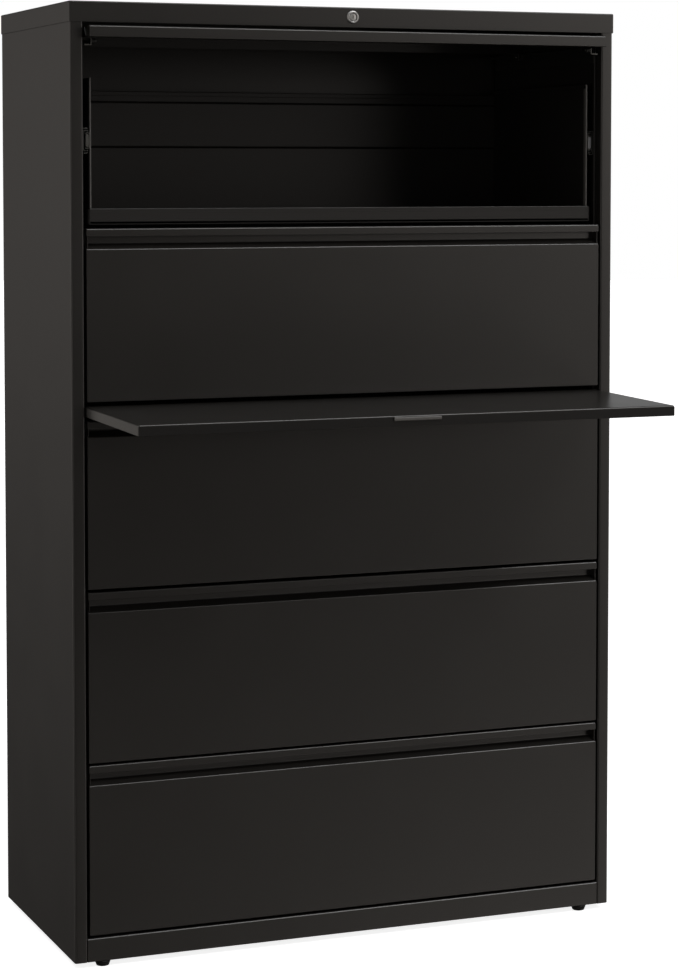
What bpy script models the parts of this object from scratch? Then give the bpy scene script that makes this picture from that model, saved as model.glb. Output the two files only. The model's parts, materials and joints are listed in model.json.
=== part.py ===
"""Five-high lateral filing cabinet in folded sheet steel.

From the top: a cap with a central lock, an open compartment whose door is pushed back flat under the cap,
a roll-out tray in that compartment, a drawer, a posting shelf pulled out between two drawers, and three
more drawers above a toe rail. Every drawer and the tray run on three-member ball-bearing slides.

Axes: +X to the cabinet's right-hand side as seen from the front, +Y to the back, +Z up. The origin is on
the floor, under the middle of the whole object with its shelf pulled out.
"""

import math

import bmesh
import bpy
from mathutils import Vector

MM = 0.001

# Overall size
CAP_WIDTH = 1066.8 * MM
CAP_DEPTH = 473.1 * MM
TOTAL_HEIGHT = 1717.7 * MM
SHELF_REACH = 302.4 * MM  # how far the pulled-out shelf and its pull stand in front of the cap
ORIGIN_TO_FRONT = (CAP_DEPTH - SHELF_REACH) / 2

# Sheet metal
GAP = 0.3 * MM
SHEET = 1.0 * MM
HEAVY_SHEET = 1.2 * MM
TIGHT_BEND = 1.5 * MM
CAP_BEND = 2.4 * MM
SOFT_BEND = 4.0 * MM

# Modelling tolerances
CUT_OVERRUN = 10.0 * MM  # how far a cutter runs past the faces that it opens
MERGE_DISTANCE = 0.01 * MM

# Case
CAP_HEIGHT = 36.4 * MM
CASE_HALF = CAP_WIDTH / 2 - HEAVY_SHEET - GAP
CASE_FRONT = HEAVY_SHEET + GAP
CASE_BACK = CAP_DEPTH - HEAVY_SHEET - GAP
CASE_BOTTOM = 11.0 * MM
CASE_TOP = TOTAL_HEIGHT - HEAVY_SHEET - CAP_BEND
OPENING_HALF = 508.5 * MM  # half the clear width between the two front stiles
STILE_RETURN = 18.5 * MM
REAR_FLANGE = 15.0 * MM
TOE_TOP = 53.7 * MM
TOE_RETURN = 19.5 * MM
BASE_REAR_UPSTAND = 29.0 * MM
BASE_BACK = 466.8 * MM

# Inner side frames, which carry the slides
FRAME_INNER = 504.4 * MM
FRAME_FRONT = 22.0 * MM
FRAME_BACK = 465.0 * MM

# Drawer fronts
FRONT_HALF = 504.0 * MM
FRONT_DEPTH = 20.0 * MM
FRONT_FACE = 1.0 * MM  # the fronts' faces lie this far behind the cap's face
FRONT_HEIGHT = 306.5 * MM
UNDER_SHELF_HEIGHT = 300.1 * MM
LIP_HEIGHT = 14.0 * MM
LIP_THICKNESS = 3.0 * MM
PULL_HEIGHT = 36.6 * MM  # from the top of the lip to the top of the flat panel
PULL_DEPTH = 18.0 * MM
PULL_FLOOR_RISE = 9.0 * MM  # from the front to the back of the recess's sloping floor
PULL_FLOOR_SHEET = 1.5 * MM  # measured upright, so the sloping sheet is about SHEET thick
DRAWERS = {
    "drawer_1": (1013.0 * MM, FRONT_HEIGHT),
    "drawer_2": (679.7 * MM, UNDER_SHELF_HEIGHT),
    "drawer_3": (368.6 * MM, FRONT_HEIGHT),
    "drawer_4": (58.3 * MM, FRONT_HEIGHT),
}

# Drawer bodies
BOX_HALF = 490.8 * MM
BOX_FRONT = FRONT_FACE + FRONT_DEPTH + GAP
BOX_BACK = 440.0 * MM
BOX_RISE = 8.0 * MM  # the body's floor above the front's lower edge
BOX_HEIGHT = 240.0 * MM
DRAWER_SLIDE_RISE = 100.0 * MM

# Roll-out tray
TRAY_BOTTOM = 1325.0 * MM
TRAY_FRONT = 20.0 * MM
TRAY_SIDE_TOP = 1584.7 * MM
TRAY_BACK_TOP = 1575.0 * MM
TRAY_LIP_TOP = 1354.5 * MM
TRAY_SLIDE_Z = 1474.0 * MM

# Ball-bearing slides: three nested channels between the frame and the drawer body
SLIDE_STEEL = 1.2 * MM
SLIDE_MEMBERS = {
    # member: (x of its web's outer skin, x of its flange tips, half height, front end, back end)
    "outer": (504.1 * MM, 494.5 * MM, 22.5 * MM, 24.0 * MM, 454.0 * MM),
    "middle": (501.9 * MM, 492.9 * MM, 18.3 * MM, 26.0 * MM, 436.0 * MM),
    "inner": (491.1 * MM, 499.5 * MM, 13.9 * MM, 22.5 * MM, 439.0 * MM),
}

# Door, pushed back flat under the cap with its outer face up
DOOR_HEIGHT = 352.0 * MM
DOOR_FRONT_EDGE = -26.0 * MM
DOOR_TOP = 1674.2 * MM
TRACK_WIDTH = 26.0 * MM
TRACK_DEPTH = 28.0 * MM
TRACK_HEM = 6.0 * MM

# Posting shelf, which hangs down by a small angle in its runners
SHELF_DROOP = math.radians(1.0)
SHELF_TOP = 1005.0 * MM  # at the front plane of the cabinet
SHELF_THICKNESS = 19.0 * MM
SHELF_FRONT = -299.0 * MM
SHELF_REAR = 121.0 * MM
SHELF_PULL_WIDTH = 89.0 * MM
SHELF_PULL_HEIGHT = 7.0 * MM
SHELF_PULL_DROP = 2.5 * MM
RUNNER_WEB_HALF = 484.0 * MM
RUNNER_TOP_HALF = 470.0 * MM
RUNNER_FRONT = 24.0 * MM
RUNNER_REAR = 455.0 * MM
RUNNER_LEG = 14.0 * MM

# Lock
LOCK_Z = 1700.0 * MM
LOCK_HOLE_RADIUS = 10.8 * MM
LOCK_FLANGE_RADIUS = 11.8 * MM
LOCK_BARREL_RADIUS = 10.4 * MM
LOCK_BORE_RADIUS = 7.3 * MM
LOCK_FACE = -2.5 * MM
LOCK_FLANGE_BACK = -GAP
LOCK_BARREL_BACK = 24.0 * MM
PLUG_RADIUS = 7.0 * MM
PLUG_FACE = -1.2 * MM
PLUG_BACK = 27.0 * MM
KEYWAY = (1.6 * MM, 3.0 * MM, 8.0 * MM)
CAM = (12.0 * MM, 2.0 * MM, 16.0 * MM)
BAR_HALF = 480.0 * MM
BAR_FRONT = 30.0 * MM
BAR_THICKNESS = 2.0 * MM
BAR_BOTTOM = 1684.0 * MM
BAR_TOP = 1696.0 * MM

# Feet and ballast
FOOT_X = 476.6 * MM
FRONT_FOOT_Y = 17.0 * MM
REAR_FOOT_Y = 448.0 * MM
FOOT_TOP_RADIUS = 15.0 * MM
FOOT_BOTTOM_RADIUS = 11.5 * MM
FOOT_EDGE = 1.2 * MM
STEM_RADIUS = 4.0 * MM
STEM_TOP = 38.0 * MM
STEM_HOLE_RADIUS = 5.0 * MM
WEIGHT_HALF = 440.0 * MM
WEIGHT_DEPTH = 60.0 * MM
WEIGHT_HEIGHT = 34.0 * MM
WEIGHT_FRONT = 375.0 * MM

ROUND_SEGMENTS = 24
LEFT = -1
RIGHT = 1
SIDES = {"left": LEFT, "right": RIGHT}


# ---------------------------------------------------------------- scene and materials


def clear_scene():
    for obj in list(bpy.data.objects):
        bpy.data.objects.remove(obj)


def new_collection(name):
    collection = bpy.data.collections.new(name)
    bpy.context.scene.collection.children.link(collection)
    return collection


def new_material(name, colour, roughness, metallic):
    material = bpy.data.materials.new(name)
    material.use_nodes = True
    shader = material.node_tree.nodes["Principled BSDF"]
    shader.inputs["Base Color"].default_value = (*colour, 1.0)
    shader.inputs["Roughness"].default_value = roughness
    shader.inputs["Metallic"].default_value = metallic
    return material


clear_scene()
PARTS = new_collection("filing_cabinet")
CUTTERS = new_collection("cutters")
PAINT = new_material("charcoal_paint", (0.030, 0.028, 0.025), 0.45, 0.0)
INNER_PAINT = new_material("inner_paint", (0.022, 0.021, 0.020), 0.55, 0.0)
ZINC = new_material("zinc_plated_steel", (0.55, 0.55, 0.54), 0.35, 1.0)
CHROME = new_material("chrome", (0.80, 0.80, 0.80), 0.12, 1.0)
GLIDE = new_material("black_glide", (0.015, 0.015, 0.015), 0.60, 0.0)
BALLAST = new_material("ballast_iron", (0.06, 0.06, 0.06), 0.80, 0.6)


# ---------------------------------------------------------------- modelling helpers


def new_frame(name, location, parent=None, rotation=(0.0, 0.0, 0.0)):
    """An empty that places a group of parts."""
    empty = bpy.data.objects.new(name, None)
    PARTS.objects.link(empty)
    empty.location = location
    empty.rotation_euler = rotation
    empty.parent = parent
    return empty


def add_part(name, mesh, frame, material):
    """A sub-part with that mesh, in the axes of its frame."""
    obj = bpy.data.objects.new(name, mesh)
    PARTS.objects.link(obj)
    obj.parent = frame
    mesh.materials.append(material)
    return obj


def add_cutter(name, mesh, frame):
    obj = bpy.data.objects.new(name, mesh)
    CUTTERS.objects.link(obj)
    obj.parent = frame
    obj.hide_render = True
    obj.display_type = "WIRE"
    return obj


def combine(target, other, operation):
    modifier = target.modifiers.new(operation.lower() + "_" + other.name, "BOOLEAN")
    modifier.operation = operation
    modifier.object = other
    return modifier


def cube_in(low, high):
    """A bmesh cube that fills the box from low to high."""
    low, high = Vector(low), Vector(high)
    bm = bmesh.new()
    bmesh.ops.create_cube(bm, size=1.0)
    bmesh.ops.scale(bm, verts=bm.verts, vec=high - low)
    bmesh.ops.translate(bm, verts=bm.verts, vec=(low + high) / 2)
    return bm


def to_mesh(bm, name):
    bmesh.ops.recalc_face_normals(bm, faces=bm.faces)
    mesh = bpy.data.meshes.new(name)
    bm.to_mesh(mesh)
    bm.free()
    return mesh


def box_mesh(name, low, high):
    return to_mesh(cube_in(low, high), name)


def round_edges(bm, edges, radius, segments=3):
    bmesh.ops.bevel(bm, geom=edges, offset=radius, segments=segments, profile=0.5, affect="EDGES")


def edges_where(bm, test):
    """The edges whose two ends both pass the test."""
    return [edge for edge in bm.edges if all(test(vert.co) for vert in edge.verts)]


def faces_facing(bm, direction):
    return [face for face in bm.faces if face.normal.dot(Vector(direction)) > 0.99]


def cylinder_mesh(name, radius, start, end, centre):
    """A cylinder along Y, from start to end, round centre = (x, z)."""
    bm = bmesh.new()
    bmesh.ops.create_cone(
        bm, cap_ends=True, segments=ROUND_SEGMENTS, radius1=radius, radius2=radius, depth=end - start
    )
    for vert in bm.verts:
        x, y, z = vert.co
        vert.co = (centre[0] + x, (start + end) / 2 + z, centre[1] - y)
    return to_mesh(bm, name)


def filleted(points, radii, steps=3):
    """An open outline whose inner corners are turned into arcs, with one radius for each of them."""
    points = [Vector(point) for point in points]
    rounded = [points[0]]
    for before, corner, after, radius in zip(points, points[1:], points[2:], radii):
        to_before = (before - corner).normalized()
        to_after = (after - corner).normalized()
        half_angle = to_before.angle(to_after) / 2
        middle = (to_before + to_after).normalized()
        centre = corner + middle * (radius / math.sin(half_angle))
        first = corner + to_before * (radius / math.tan(half_angle)) - centre
        last = corner + to_after * (radius / math.tan(half_angle)) - centre
        for step in range(steps + 1):
            direction = first.normalized().slerp(last.normalized(), step / steps)
            rounded.append(centre + direction * radius)
    rounded.append(points[-1])
    return rounded


def along_x(point, distance):
    return Vector((distance, point[0], point[1]))


def along_y(point, distance):
    return Vector((point[0], distance, point[1]))


def along_z(point, distance):
    return Vector((point[0], point[1], distance))


def thicken(obj, thickness):
    """The sheet's thickness goes behind its faces."""
    modifier = obj.modifiers.new("sheet", "SOLIDIFY")
    modifier.thickness = thickness
    modifier.offset = -1.0
    modifier.use_even_offset = True
    return modifier


def folded_sheet(name, outline, place, start, end, thickness, frame, material, left=True):
    """A strip bent along an open outline and drawn out from start to end.

    The outline is one skin of the sheet. The thickness is added on its left as it is followed, or on its
    right where left is False.
    """
    bm = bmesh.new()
    verts = [bm.verts.new(place(point, start)) for point in outline]
    edges = [bm.edges.new(pair) for pair in zip(verts, verts[1:])]
    drawn = bmesh.ops.extrude_edge_only(bm, edges=edges)
    moved = [item for item in drawn["geom"] if isinstance(item, bmesh.types.BMVert)]
    step = place(outline[0], end) - place(outline[0], start)
    bmesh.ops.translate(bm, verts=moved, vec=step)
    mesh = to_mesh(bm, name)
    run = Vector(outline[1]) - Vector(outline[0])
    to_left = Vector((-run.y, run.x))
    added_side = place(to_left if left else -to_left, 0.0)
    first_face = next(face for face in mesh.polygons if {0, 1} <= set(face.vertices))
    if first_face.normal.dot(added_side) > 0:
        mesh.flip_normals()
    obj = add_part(name, mesh, frame, material)
    thicken(obj, thickness)
    return obj


def prism_mesh(name, outline, half_length):
    """A closed outline in (y, z), drawn out both ways along X."""
    curve = bpy.data.curves.new(name, "CURVE")
    curve.dimensions = "2D"
    curve.fill_mode = "BOTH"
    curve.extrude = half_length
    spline = curve.splines.new("POLY")
    spline.points.add(len(outline) - 1)
    for point, (y, z) in zip(spline.points, outline):
        point.co = (y, z, 0.0, 1.0)
    spline.use_cyclic_u = True
    carrier = bpy.data.objects.new(name, curve)
    CUTTERS.objects.link(carrier)
    carrier.rotation_euler = (math.pi / 2, 0.0, math.pi / 2)
    bpy.context.view_layer.update()
    evaluated = carrier.evaluated_get(bpy.context.evaluated_depsgraph_get())
    mesh = bpy.data.meshes.new_from_object(evaluated)
    mesh.transform(carrier.matrix_world)
    bpy.data.objects.remove(carrier)
    bm = bmesh.new()
    bm.from_mesh(mesh)
    bmesh.ops.remove_doubles(bm, verts=bm.verts, dist=MERGE_DISTANCE)
    bpy.data.meshes.remove(mesh)
    return to_mesh(bm, name)


def add_turned(name, profile, frame, material, ring=False):
    """A profile of (radius, height) points, from the top down its outer side, turned about Z.

    A ring's profile closes on itself. Any other one starts and ends on the axis.
    """
    bm = bmesh.new()
    verts = [bm.verts.new((radius, 0.0, height)) for radius, height in profile]
    for pair in zip(verts, verts[1:]):
        bm.edges.new(pair)
    if ring:
        bm.edges.new((verts[-1], verts[0]))
    mesh = bpy.data.meshes.new(name)
    bm.to_mesh(mesh)
    bm.free()
    obj = add_part(name, mesh, frame, material)
    modifier = obj.modifiers.new("turned", "SCREW")
    modifier.axis = "Z"
    modifier.steps = ROUND_SEGMENTS
    modifier.render_steps = ROUND_SEGMENTS
    modifier.use_merge_vertices = True
    modifier.merge_threshold = MERGE_DISTANCE
    return obj


# ---------------------------------------------------------------- case


def build_side_panel(side, sign, frame):
    """One sheet: rear flange, side, front stile and the stile's return into the cabinet."""
    outline = [
        (sign * (CASE_HALF - REAR_FLANGE), CASE_BACK),
        (sign * CASE_HALF, CASE_BACK),
        (sign * CASE_HALF, CASE_FRONT),
        (sign * OPENING_HALF, CASE_FRONT),
        (sign * OPENING_HALF, CASE_FRONT + STILE_RETURN),
    ]
    rounded = filleted(outline, (TIGHT_BEND, SOFT_BEND, TIGHT_BEND))
    name = side + "_side_panel"
    folded_sheet(name, rounded, along_z, CASE_BOTTOM, CASE_TOP, SHEET, frame, PAINT, left=sign == LEFT)


def build_back_panel(frame):
    back = CASE_BACK - SHEET - GAP
    half = CASE_HALF - SHEET - GAP
    low = (-half, back - SHEET, CASE_BOTTOM + HEAVY_SHEET)
    high = (half, back, CASE_TOP - GAP)
    add_part("back_panel", box_mesh("back_panel", low, high), frame, PAINT)


def build_cap(frame):
    """A folded pan, open below, with a hole for the lock in its front flange."""
    half = CAP_WIDTH / 2
    bm = cube_in((-half, 0.0, TOTAL_HEIGHT - CAP_HEIGHT), (half, CAP_DEPTH, TOTAL_HEIGHT))
    bmesh.ops.delete(bm, geom=faces_facing(bm, (0, 0, -1)), context="FACES_ONLY")
    upper = edges_where(bm, lambda co: co.z > TOTAL_HEIGHT - GAP)
    upright = [edge for edge in bm.edges if edge not in upper and not edge.is_boundary]
    round_edges(bm, upper + upright, CAP_BEND)
    cap = add_part("top_cap", to_mesh(bm, "top_cap"), frame, PAINT)
    thicken(cap, HEAVY_SHEET)
    hole = cylinder_mesh("lock_hole", LOCK_HOLE_RADIUS, -CUT_OVERRUN, CUT_OVERRUN, (0.0, LOCK_Z))
    combine(cap, add_cutter("lock_hole", hole, frame), "DIFFERENCE")


def build_base(frame):
    """Toe rail, floor and rear upstand in one folded sheet, with holes for the feet's stems."""
    outline = [
        (CASE_FRONT + TOE_RETURN, TOE_TOP),
        (CASE_FRONT, TOE_TOP),
        (CASE_FRONT, CASE_BOTTOM),
        (BASE_BACK, CASE_BOTTOM),
        (BASE_BACK, CASE_BOTTOM + BASE_REAR_UPSTAND),
    ]
    rounded = filleted(outline, (CAP_BEND, TIGHT_BEND, TIGHT_BEND))
    half = OPENING_HALF - GAP
    base = folded_sheet("base_pan", rounded, along_x, -half, half, HEAVY_SHEET, frame, PAINT)
    for name, x, y in foot_places():
        bm = bmesh.new()
        bmesh.ops.create_cone(
            bm,
            cap_ends=True,
            segments=ROUND_SEGMENTS // 2,
            radius1=STEM_HOLE_RADIUS,
            radius2=STEM_HOLE_RADIUS,
            depth=CUT_OVERRUN,
        )
        hole = add_cutter(name + "_hole", to_mesh(bm, name + "_hole"), frame)
        hole.location = (x, y, CASE_BOTTOM)
        combine(base, hole, "DIFFERENCE")


def foot_places():
    for side, sign in SIDES.items():
        yield "front_" + side + "_foot", sign * FOOT_X, FRONT_FOOT_Y
        yield "rear_" + side + "_foot", sign * FOOT_X, REAR_FOOT_Y


def build_feet(frame):
    """Levelling feet: a tapered black glide under a threaded stem."""
    pad_top = CASE_BOTTOM - 2 * GAP
    profile = [
        (0.0, STEM_TOP),
        (STEM_RADIUS, STEM_TOP),
        (STEM_RADIUS, pad_top),
        (FOOT_TOP_RADIUS - FOOT_EDGE, pad_top),
        (FOOT_TOP_RADIUS, pad_top - FOOT_EDGE),
        (FOOT_BOTTOM_RADIUS, FOOT_EDGE),
        (FOOT_BOTTOM_RADIUS - FOOT_EDGE, 0.0),
        (0.0, 0.0),
    ]
    for name, x, y in foot_places():
        foot = add_turned(name, profile, frame, GLIDE)
        foot.location = (x, y, 0.0)


def build_side_frame(side, sign, frame):
    """The channel inside each side panel that every slide is fixed to."""
    outer = sign * (CASE_HALF - SHEET - GAP)
    inner = sign * FRAME_INNER
    outline = [
        (outer, FRAME_FRONT),
        (inner, FRAME_FRONT),
        (inner, FRAME_BACK),
        (outer, FRAME_BACK),
    ]
    low = CASE_BOTTOM + HEAVY_SHEET + GAP
    high = CASE_TOP - GAP
    name = side + "_side_frame"
    folded_sheet(name, outline, along_z, low, high, HEAVY_SHEET, frame, INNER_PAINT, left=sign == LEFT)


def build_counterweight(frame):
    bottom = CASE_BOTTOM + HEAVY_SHEET + GAP
    low = (-WEIGHT_HALF, WEIGHT_FRONT, bottom)
    high = (WEIGHT_HALF, WEIGHT_FRONT + WEIGHT_DEPTH, bottom + WEIGHT_HEIGHT)
    add_part("counterweight", box_mesh("counterweight", low, high), frame, BALLAST)


# ---------------------------------------------------------------- slides, drawers and tray


def build_slide_member(name, member, side_sign, z, frame, forward=0.0):
    """One channel of a slide. Its two flanges reach from its web towards the next member."""
    web, tips, half_height, front, back = SLIDE_MEMBERS[member]
    outline = [
        (side_sign * tips, z + half_height),
        (side_sign * web, z + half_height),
        (side_sign * web, z - half_height),
        (side_sign * tips, z - half_height),
    ]
    opens_outwards = tips > web
    left = (side_sign == LEFT) != opens_outwards
    start = front + forward
    folded_sheet(name, outline, along_y, start, back + forward, SLIDE_STEEL, frame, ZINC, left=left)


def front_panel(name, height, frame, material):
    """A pan with a full-width pull formed into its upper edge.

    Its face is the plane y = 0 and its lower edge z = 0, in its frame's axes. A cutter opens the finger
    recess below and behind the lip, and another hollows the pan out from the back.
    """
    bm = cube_in((-FRONT_HALF, 0.0, 0.0), (FRONT_HALF, FRONT_DEPTH, height))
    face_edges = edges_where(bm, lambda co: co.y < GAP)
    round_edges(bm, face_edges, TIGHT_BEND)
    panel = add_part(name, to_mesh(bm, name), frame, material)

    panel_top = height - PULL_HEIGHT
    lip_bottom = height - LIP_HEIGHT
    floor_back = panel_top + PULL_FLOOR_RISE
    recess = [
        (-CUT_OVERRUN, lip_bottom),
        (LIP_THICKNESS, lip_bottom),
        (LIP_THICKNESS, height - LIP_THICKNESS),
        (PULL_DEPTH, height - LIP_THICKNESS),
        (PULL_DEPTH, floor_back),
        (SHEET, panel_top),
        (-CUT_OVERRUN, panel_top),
    ]
    hollow = [
        (SHEET, SHEET),
        (FRONT_DEPTH + CUT_OVERRUN, SHEET),
        (FRONT_DEPTH + CUT_OVERRUN, floor_back - SHEET),
        (PULL_DEPTH, floor_back - SHEET),
        (SHEET, panel_top - PULL_FLOOR_SHEET),
    ]
    half = FRONT_HALF - SHEET
    for label, outline in (("recess", recess), ("hollow", hollow)):
        cutter = add_cutter(name + "_" + label, prism_mesh(name + "_" + label, outline, half), frame)
        combine(panel, cutter, "DIFFERENCE")
    return panel


def build_drawer_box(name, frame):
    """An open steel body: floor, two sides, back and inner front."""
    low = (-BOX_HALF, BOX_FRONT - FRONT_FACE, BOX_RISE)
    high = (BOX_HALF, BOX_BACK - FRONT_FACE, BOX_RISE + BOX_HEIGHT)
    bm = cube_in(low, high)
    bmesh.ops.delete(bm, geom=faces_facing(bm, (0, 0, 1)), context="FACES_ONLY")
    box = add_part(name, to_mesh(bm, name), frame, INNER_PAINT)
    thicken(box, SHEET)


def build_drawer(name, bottom, height, cabinet):
    """The front, its body and its slides. The drawer's frame is at the middle of its front's lower edge."""
    place = (0.0, FRONT_FACE, bottom)
    drawer = new_frame(name + "_frame", place, cabinet)
    middle = new_frame(name + "_middle_frame", place, cabinet)
    front_panel(name + "_front", height, drawer, PAINT)
    build_drawer_box(name + "_box", drawer)
    add_slide_pair(name, DRAWER_SLIDE_RISE, bottom, cabinet, middle, drawer)


def add_slide_pair(name, rise, level, cabinet, middle, moving):
    """Slides whose centre line is `rise` above `level`, the height of the two moving frames."""
    shift = -FRONT_FACE
    for side, sign in SIDES.items():
        prefix = name + "_" + side + "_slide_"
        build_slide_member(prefix + "outer", "outer", sign, level + rise, cabinet)
        build_slide_member(prefix + "middle", "middle", sign, rise, middle, shift)
        build_slide_member(prefix + "inner", "inner", sign, rise, moving, shift)


def build_tray(cabinet):
    """A deep tray with a low front lip. Cutters take its front and back walls down to their heights."""
    place = (0.0, FRONT_FACE, TRAY_BOTTOM)
    tray_frame = new_frame("tray_frame", place, cabinet)
    middle = new_frame("tray_middle_frame", place, cabinet)
    side_height = TRAY_SIDE_TOP - TRAY_BOTTOM
    front = TRAY_FRONT - FRONT_FACE
    back = BOX_BACK - FRONT_FACE
    bm = cube_in((-BOX_HALF, front, 0.0), (BOX_HALF, back, side_height))
    bmesh.ops.delete(bm, geom=faces_facing(bm, (0, 0, 1)), context="FACES_ONLY")
    tray = add_part("rollout_tray", to_mesh(bm, "rollout_tray"), tray_frame, INNER_PAINT)
    thicken(tray, SHEET)
    inner_half = BOX_HALF - SHEET
    walls = {
        "tray_front_cut": (front, TRAY_LIP_TOP),
        "tray_back_cut": (back, TRAY_BACK_TOP),
    }
    for cut_name, (wall, top) in walls.items():
        low = (-inner_half, wall - CUT_OVERRUN, top - TRAY_BOTTOM)
        high = (inner_half, wall + CUT_OVERRUN, side_height + CUT_OVERRUN)
        cutter = add_cutter(cut_name, box_mesh(cut_name, low, high), tray_frame)
        combine(tray, cutter, "DIFFERENCE")
    add_slide_pair("tray", TRAY_SLIDE_Z - TRAY_BOTTOM, TRAY_BOTTOM, cabinet, middle, tray_frame)


# ---------------------------------------------------------------- door and shelf


def build_door(cabinet):
    """The same formed panel as a drawer front, lying outer face up with its pull to the front."""
    rear_edge = DOOR_FRONT_EDGE + DOOR_HEIGHT
    lying_face_up = (math.pi / 2, math.pi, 0.0)
    door_frame = new_frame("door_frame", (0.0, rear_edge, DOOR_TOP), cabinet, lying_face_up)
    front_panel("door_panel", DOOR_HEIGHT, door_frame, PAINT)
    track_top = DOOR_TOP - FRONT_DEPTH - 2 * GAP
    for side, sign in SIDES.items():
        leg = sign * (FRAME_INNER - GAP)
        inner = sign * (FRAME_INNER - GAP - TRACK_WIDTH)
        outline = [
            (leg, track_top - TRACK_DEPTH),
            (leg, track_top),
            (inner, track_top),
            (inner, track_top - TRACK_HEM),
        ]
        folded_sheet(
            side + "_door_track",
            outline,
            along_y,
            RUNNER_FRONT,
            RUNNER_REAR,
            HEAVY_SHEET,
            cabinet,
            ZINC,
            left=sign == RIGHT,
        )


def build_shelf(cabinet):
    """A folded pan, open below and at the rear, that slides over two runners on the side frames."""
    shelf_frame = new_frame("shelf_frame", (0.0, 0.0, SHELF_TOP), cabinet, (SHELF_DROOP, 0.0, 0.0))
    bm = cube_in((-FRONT_HALF, SHELF_FRONT, -SHELF_THICKNESS), (FRONT_HALF, SHELF_REAR, 0.0))
    open_faces = faces_facing(bm, (0, 0, -1)) + faces_facing(bm, (0, 1, 0))
    bmesh.ops.delete(bm, geom=open_faces, context="FACES_ONLY")
    folds = [edge for edge in bm.edges if not edge.is_boundary]
    round_edges(bm, folds, TIGHT_BEND)
    shelf = add_part("posting_shelf", to_mesh(bm, "posting_shelf"), shelf_frame, PAINT)
    thicken(shelf, SHEET)

    half = SHELF_PULL_WIDTH / 2
    pull_top = -SHELF_PULL_DROP
    low = (-half, -SHELF_REACH, pull_top - SHELF_PULL_HEIGHT)
    high = (half, SHELF_FRONT + SHEET / 2, pull_top)
    pull_bm = cube_in(low, high)
    front_edges = edges_where(pull_bm, lambda co: co.y < SHELF_FRONT - GAP)
    round_edges(pull_bm, front_edges, TIGHT_BEND)
    pull = add_cutter("shelf_pull", to_mesh(pull_bm, "shelf_pull"), shelf_frame)
    combine(shelf, pull, "UNION")

    runner_top = -SHEET - GAP
    sill = -SHELF_THICKNESS - 2 * GAP
    for side, sign in SIDES.items():
        leg = sign * (FRAME_INNER - GAP)
        outline = [
            (leg, sill - RUNNER_LEG),
            (leg, sill),
            (sign * RUNNER_WEB_HALF, sill),
            (sign * RUNNER_WEB_HALF, runner_top),
            (sign * RUNNER_TOP_HALF, runner_top),
        ]
        folded_sheet(
            side + "_shelf_runner",
            outline,
            along_y,
            RUNNER_FRONT,
            RUNNER_REAR,
            SHEET,
            shelf_frame,
            ZINC,
            left=sign == RIGHT,
        )


# ---------------------------------------------------------------- lock


def build_lock(cabinet):
    """A chrome housing through the cap's front flange, a keyed plug with its cam, and the bar it moves."""
    lock_frame = new_frame("lock_frame", (0.0, 0.0, LOCK_Z), cabinet)
    housing_profile = [
        (LOCK_BORE_RADIUS, -LOCK_FACE),
        (LOCK_FLANGE_RADIUS, -LOCK_FACE),
        (LOCK_FLANGE_RADIUS, -LOCK_FLANGE_BACK),
        (LOCK_BARREL_RADIUS, -LOCK_FLANGE_BACK),
        (LOCK_BARREL_RADIUS, -LOCK_BARREL_BACK),
        (LOCK_BORE_RADIUS, -LOCK_BARREL_BACK),
    ]
    housing = add_turned("lock_housing", housing_profile, lock_frame, CHROME, ring=True)
    housing.rotation_euler = (math.pi / 2, 0.0, 0.0)

    plug_mesh = cylinder_mesh("lock_plug", PLUG_RADIUS, PLUG_FACE, PLUG_BACK, (0.0, 0.0))
    plug = add_part("lock_plug", plug_mesh, lock_frame, CHROME)
    width, depth, length = KEYWAY
    low = (-width / 2, PLUG_FACE - depth, -length / 2)
    high = (width / 2, PLUG_FACE + depth, length / 2)
    combine(plug, add_cutter("keyway", box_mesh("keyway", low, high), lock_frame), "DIFFERENCE")
    width, depth, length = CAM
    low = (-width / 2, PLUG_BACK - depth / 2, -length)
    high = (width / 2, PLUG_BACK + depth / 2, width / 2)
    combine(plug, add_cutter("cam", box_mesh("cam", low, high), lock_frame), "UNION")

    low = (-BAR_HALF, BAR_FRONT, BAR_BOTTOM)
    high = (BAR_HALF, BAR_FRONT + BAR_THICKNESS, BAR_TOP)
    add_part("lock_bar", box_mesh("lock_bar", low, high), cabinet, ZINC)


# ---------------------------------------------------------------- the whole cabinet


def build_cabinet():
    cabinet = new_frame("cabinet_frame", (0.0, -ORIGIN_TO_FRONT, 0.0))
    for side, sign in SIDES.items():
        build_side_panel(side, sign, cabinet)
        build_side_frame(side, sign, cabinet)
    build_back_panel(cabinet)
    build_cap(cabinet)
    build_base(cabinet)
    build_feet(cabinet)
    build_counterweight(cabinet)
    for name, (bottom, height) in DRAWERS.items():
        build_drawer(name, bottom, height, cabinet)
    build_tray(cabinet)
    build_door(cabinet)
    build_shelf(cabinet)
    build_lock(cabinet)


build_cabinet()
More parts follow.
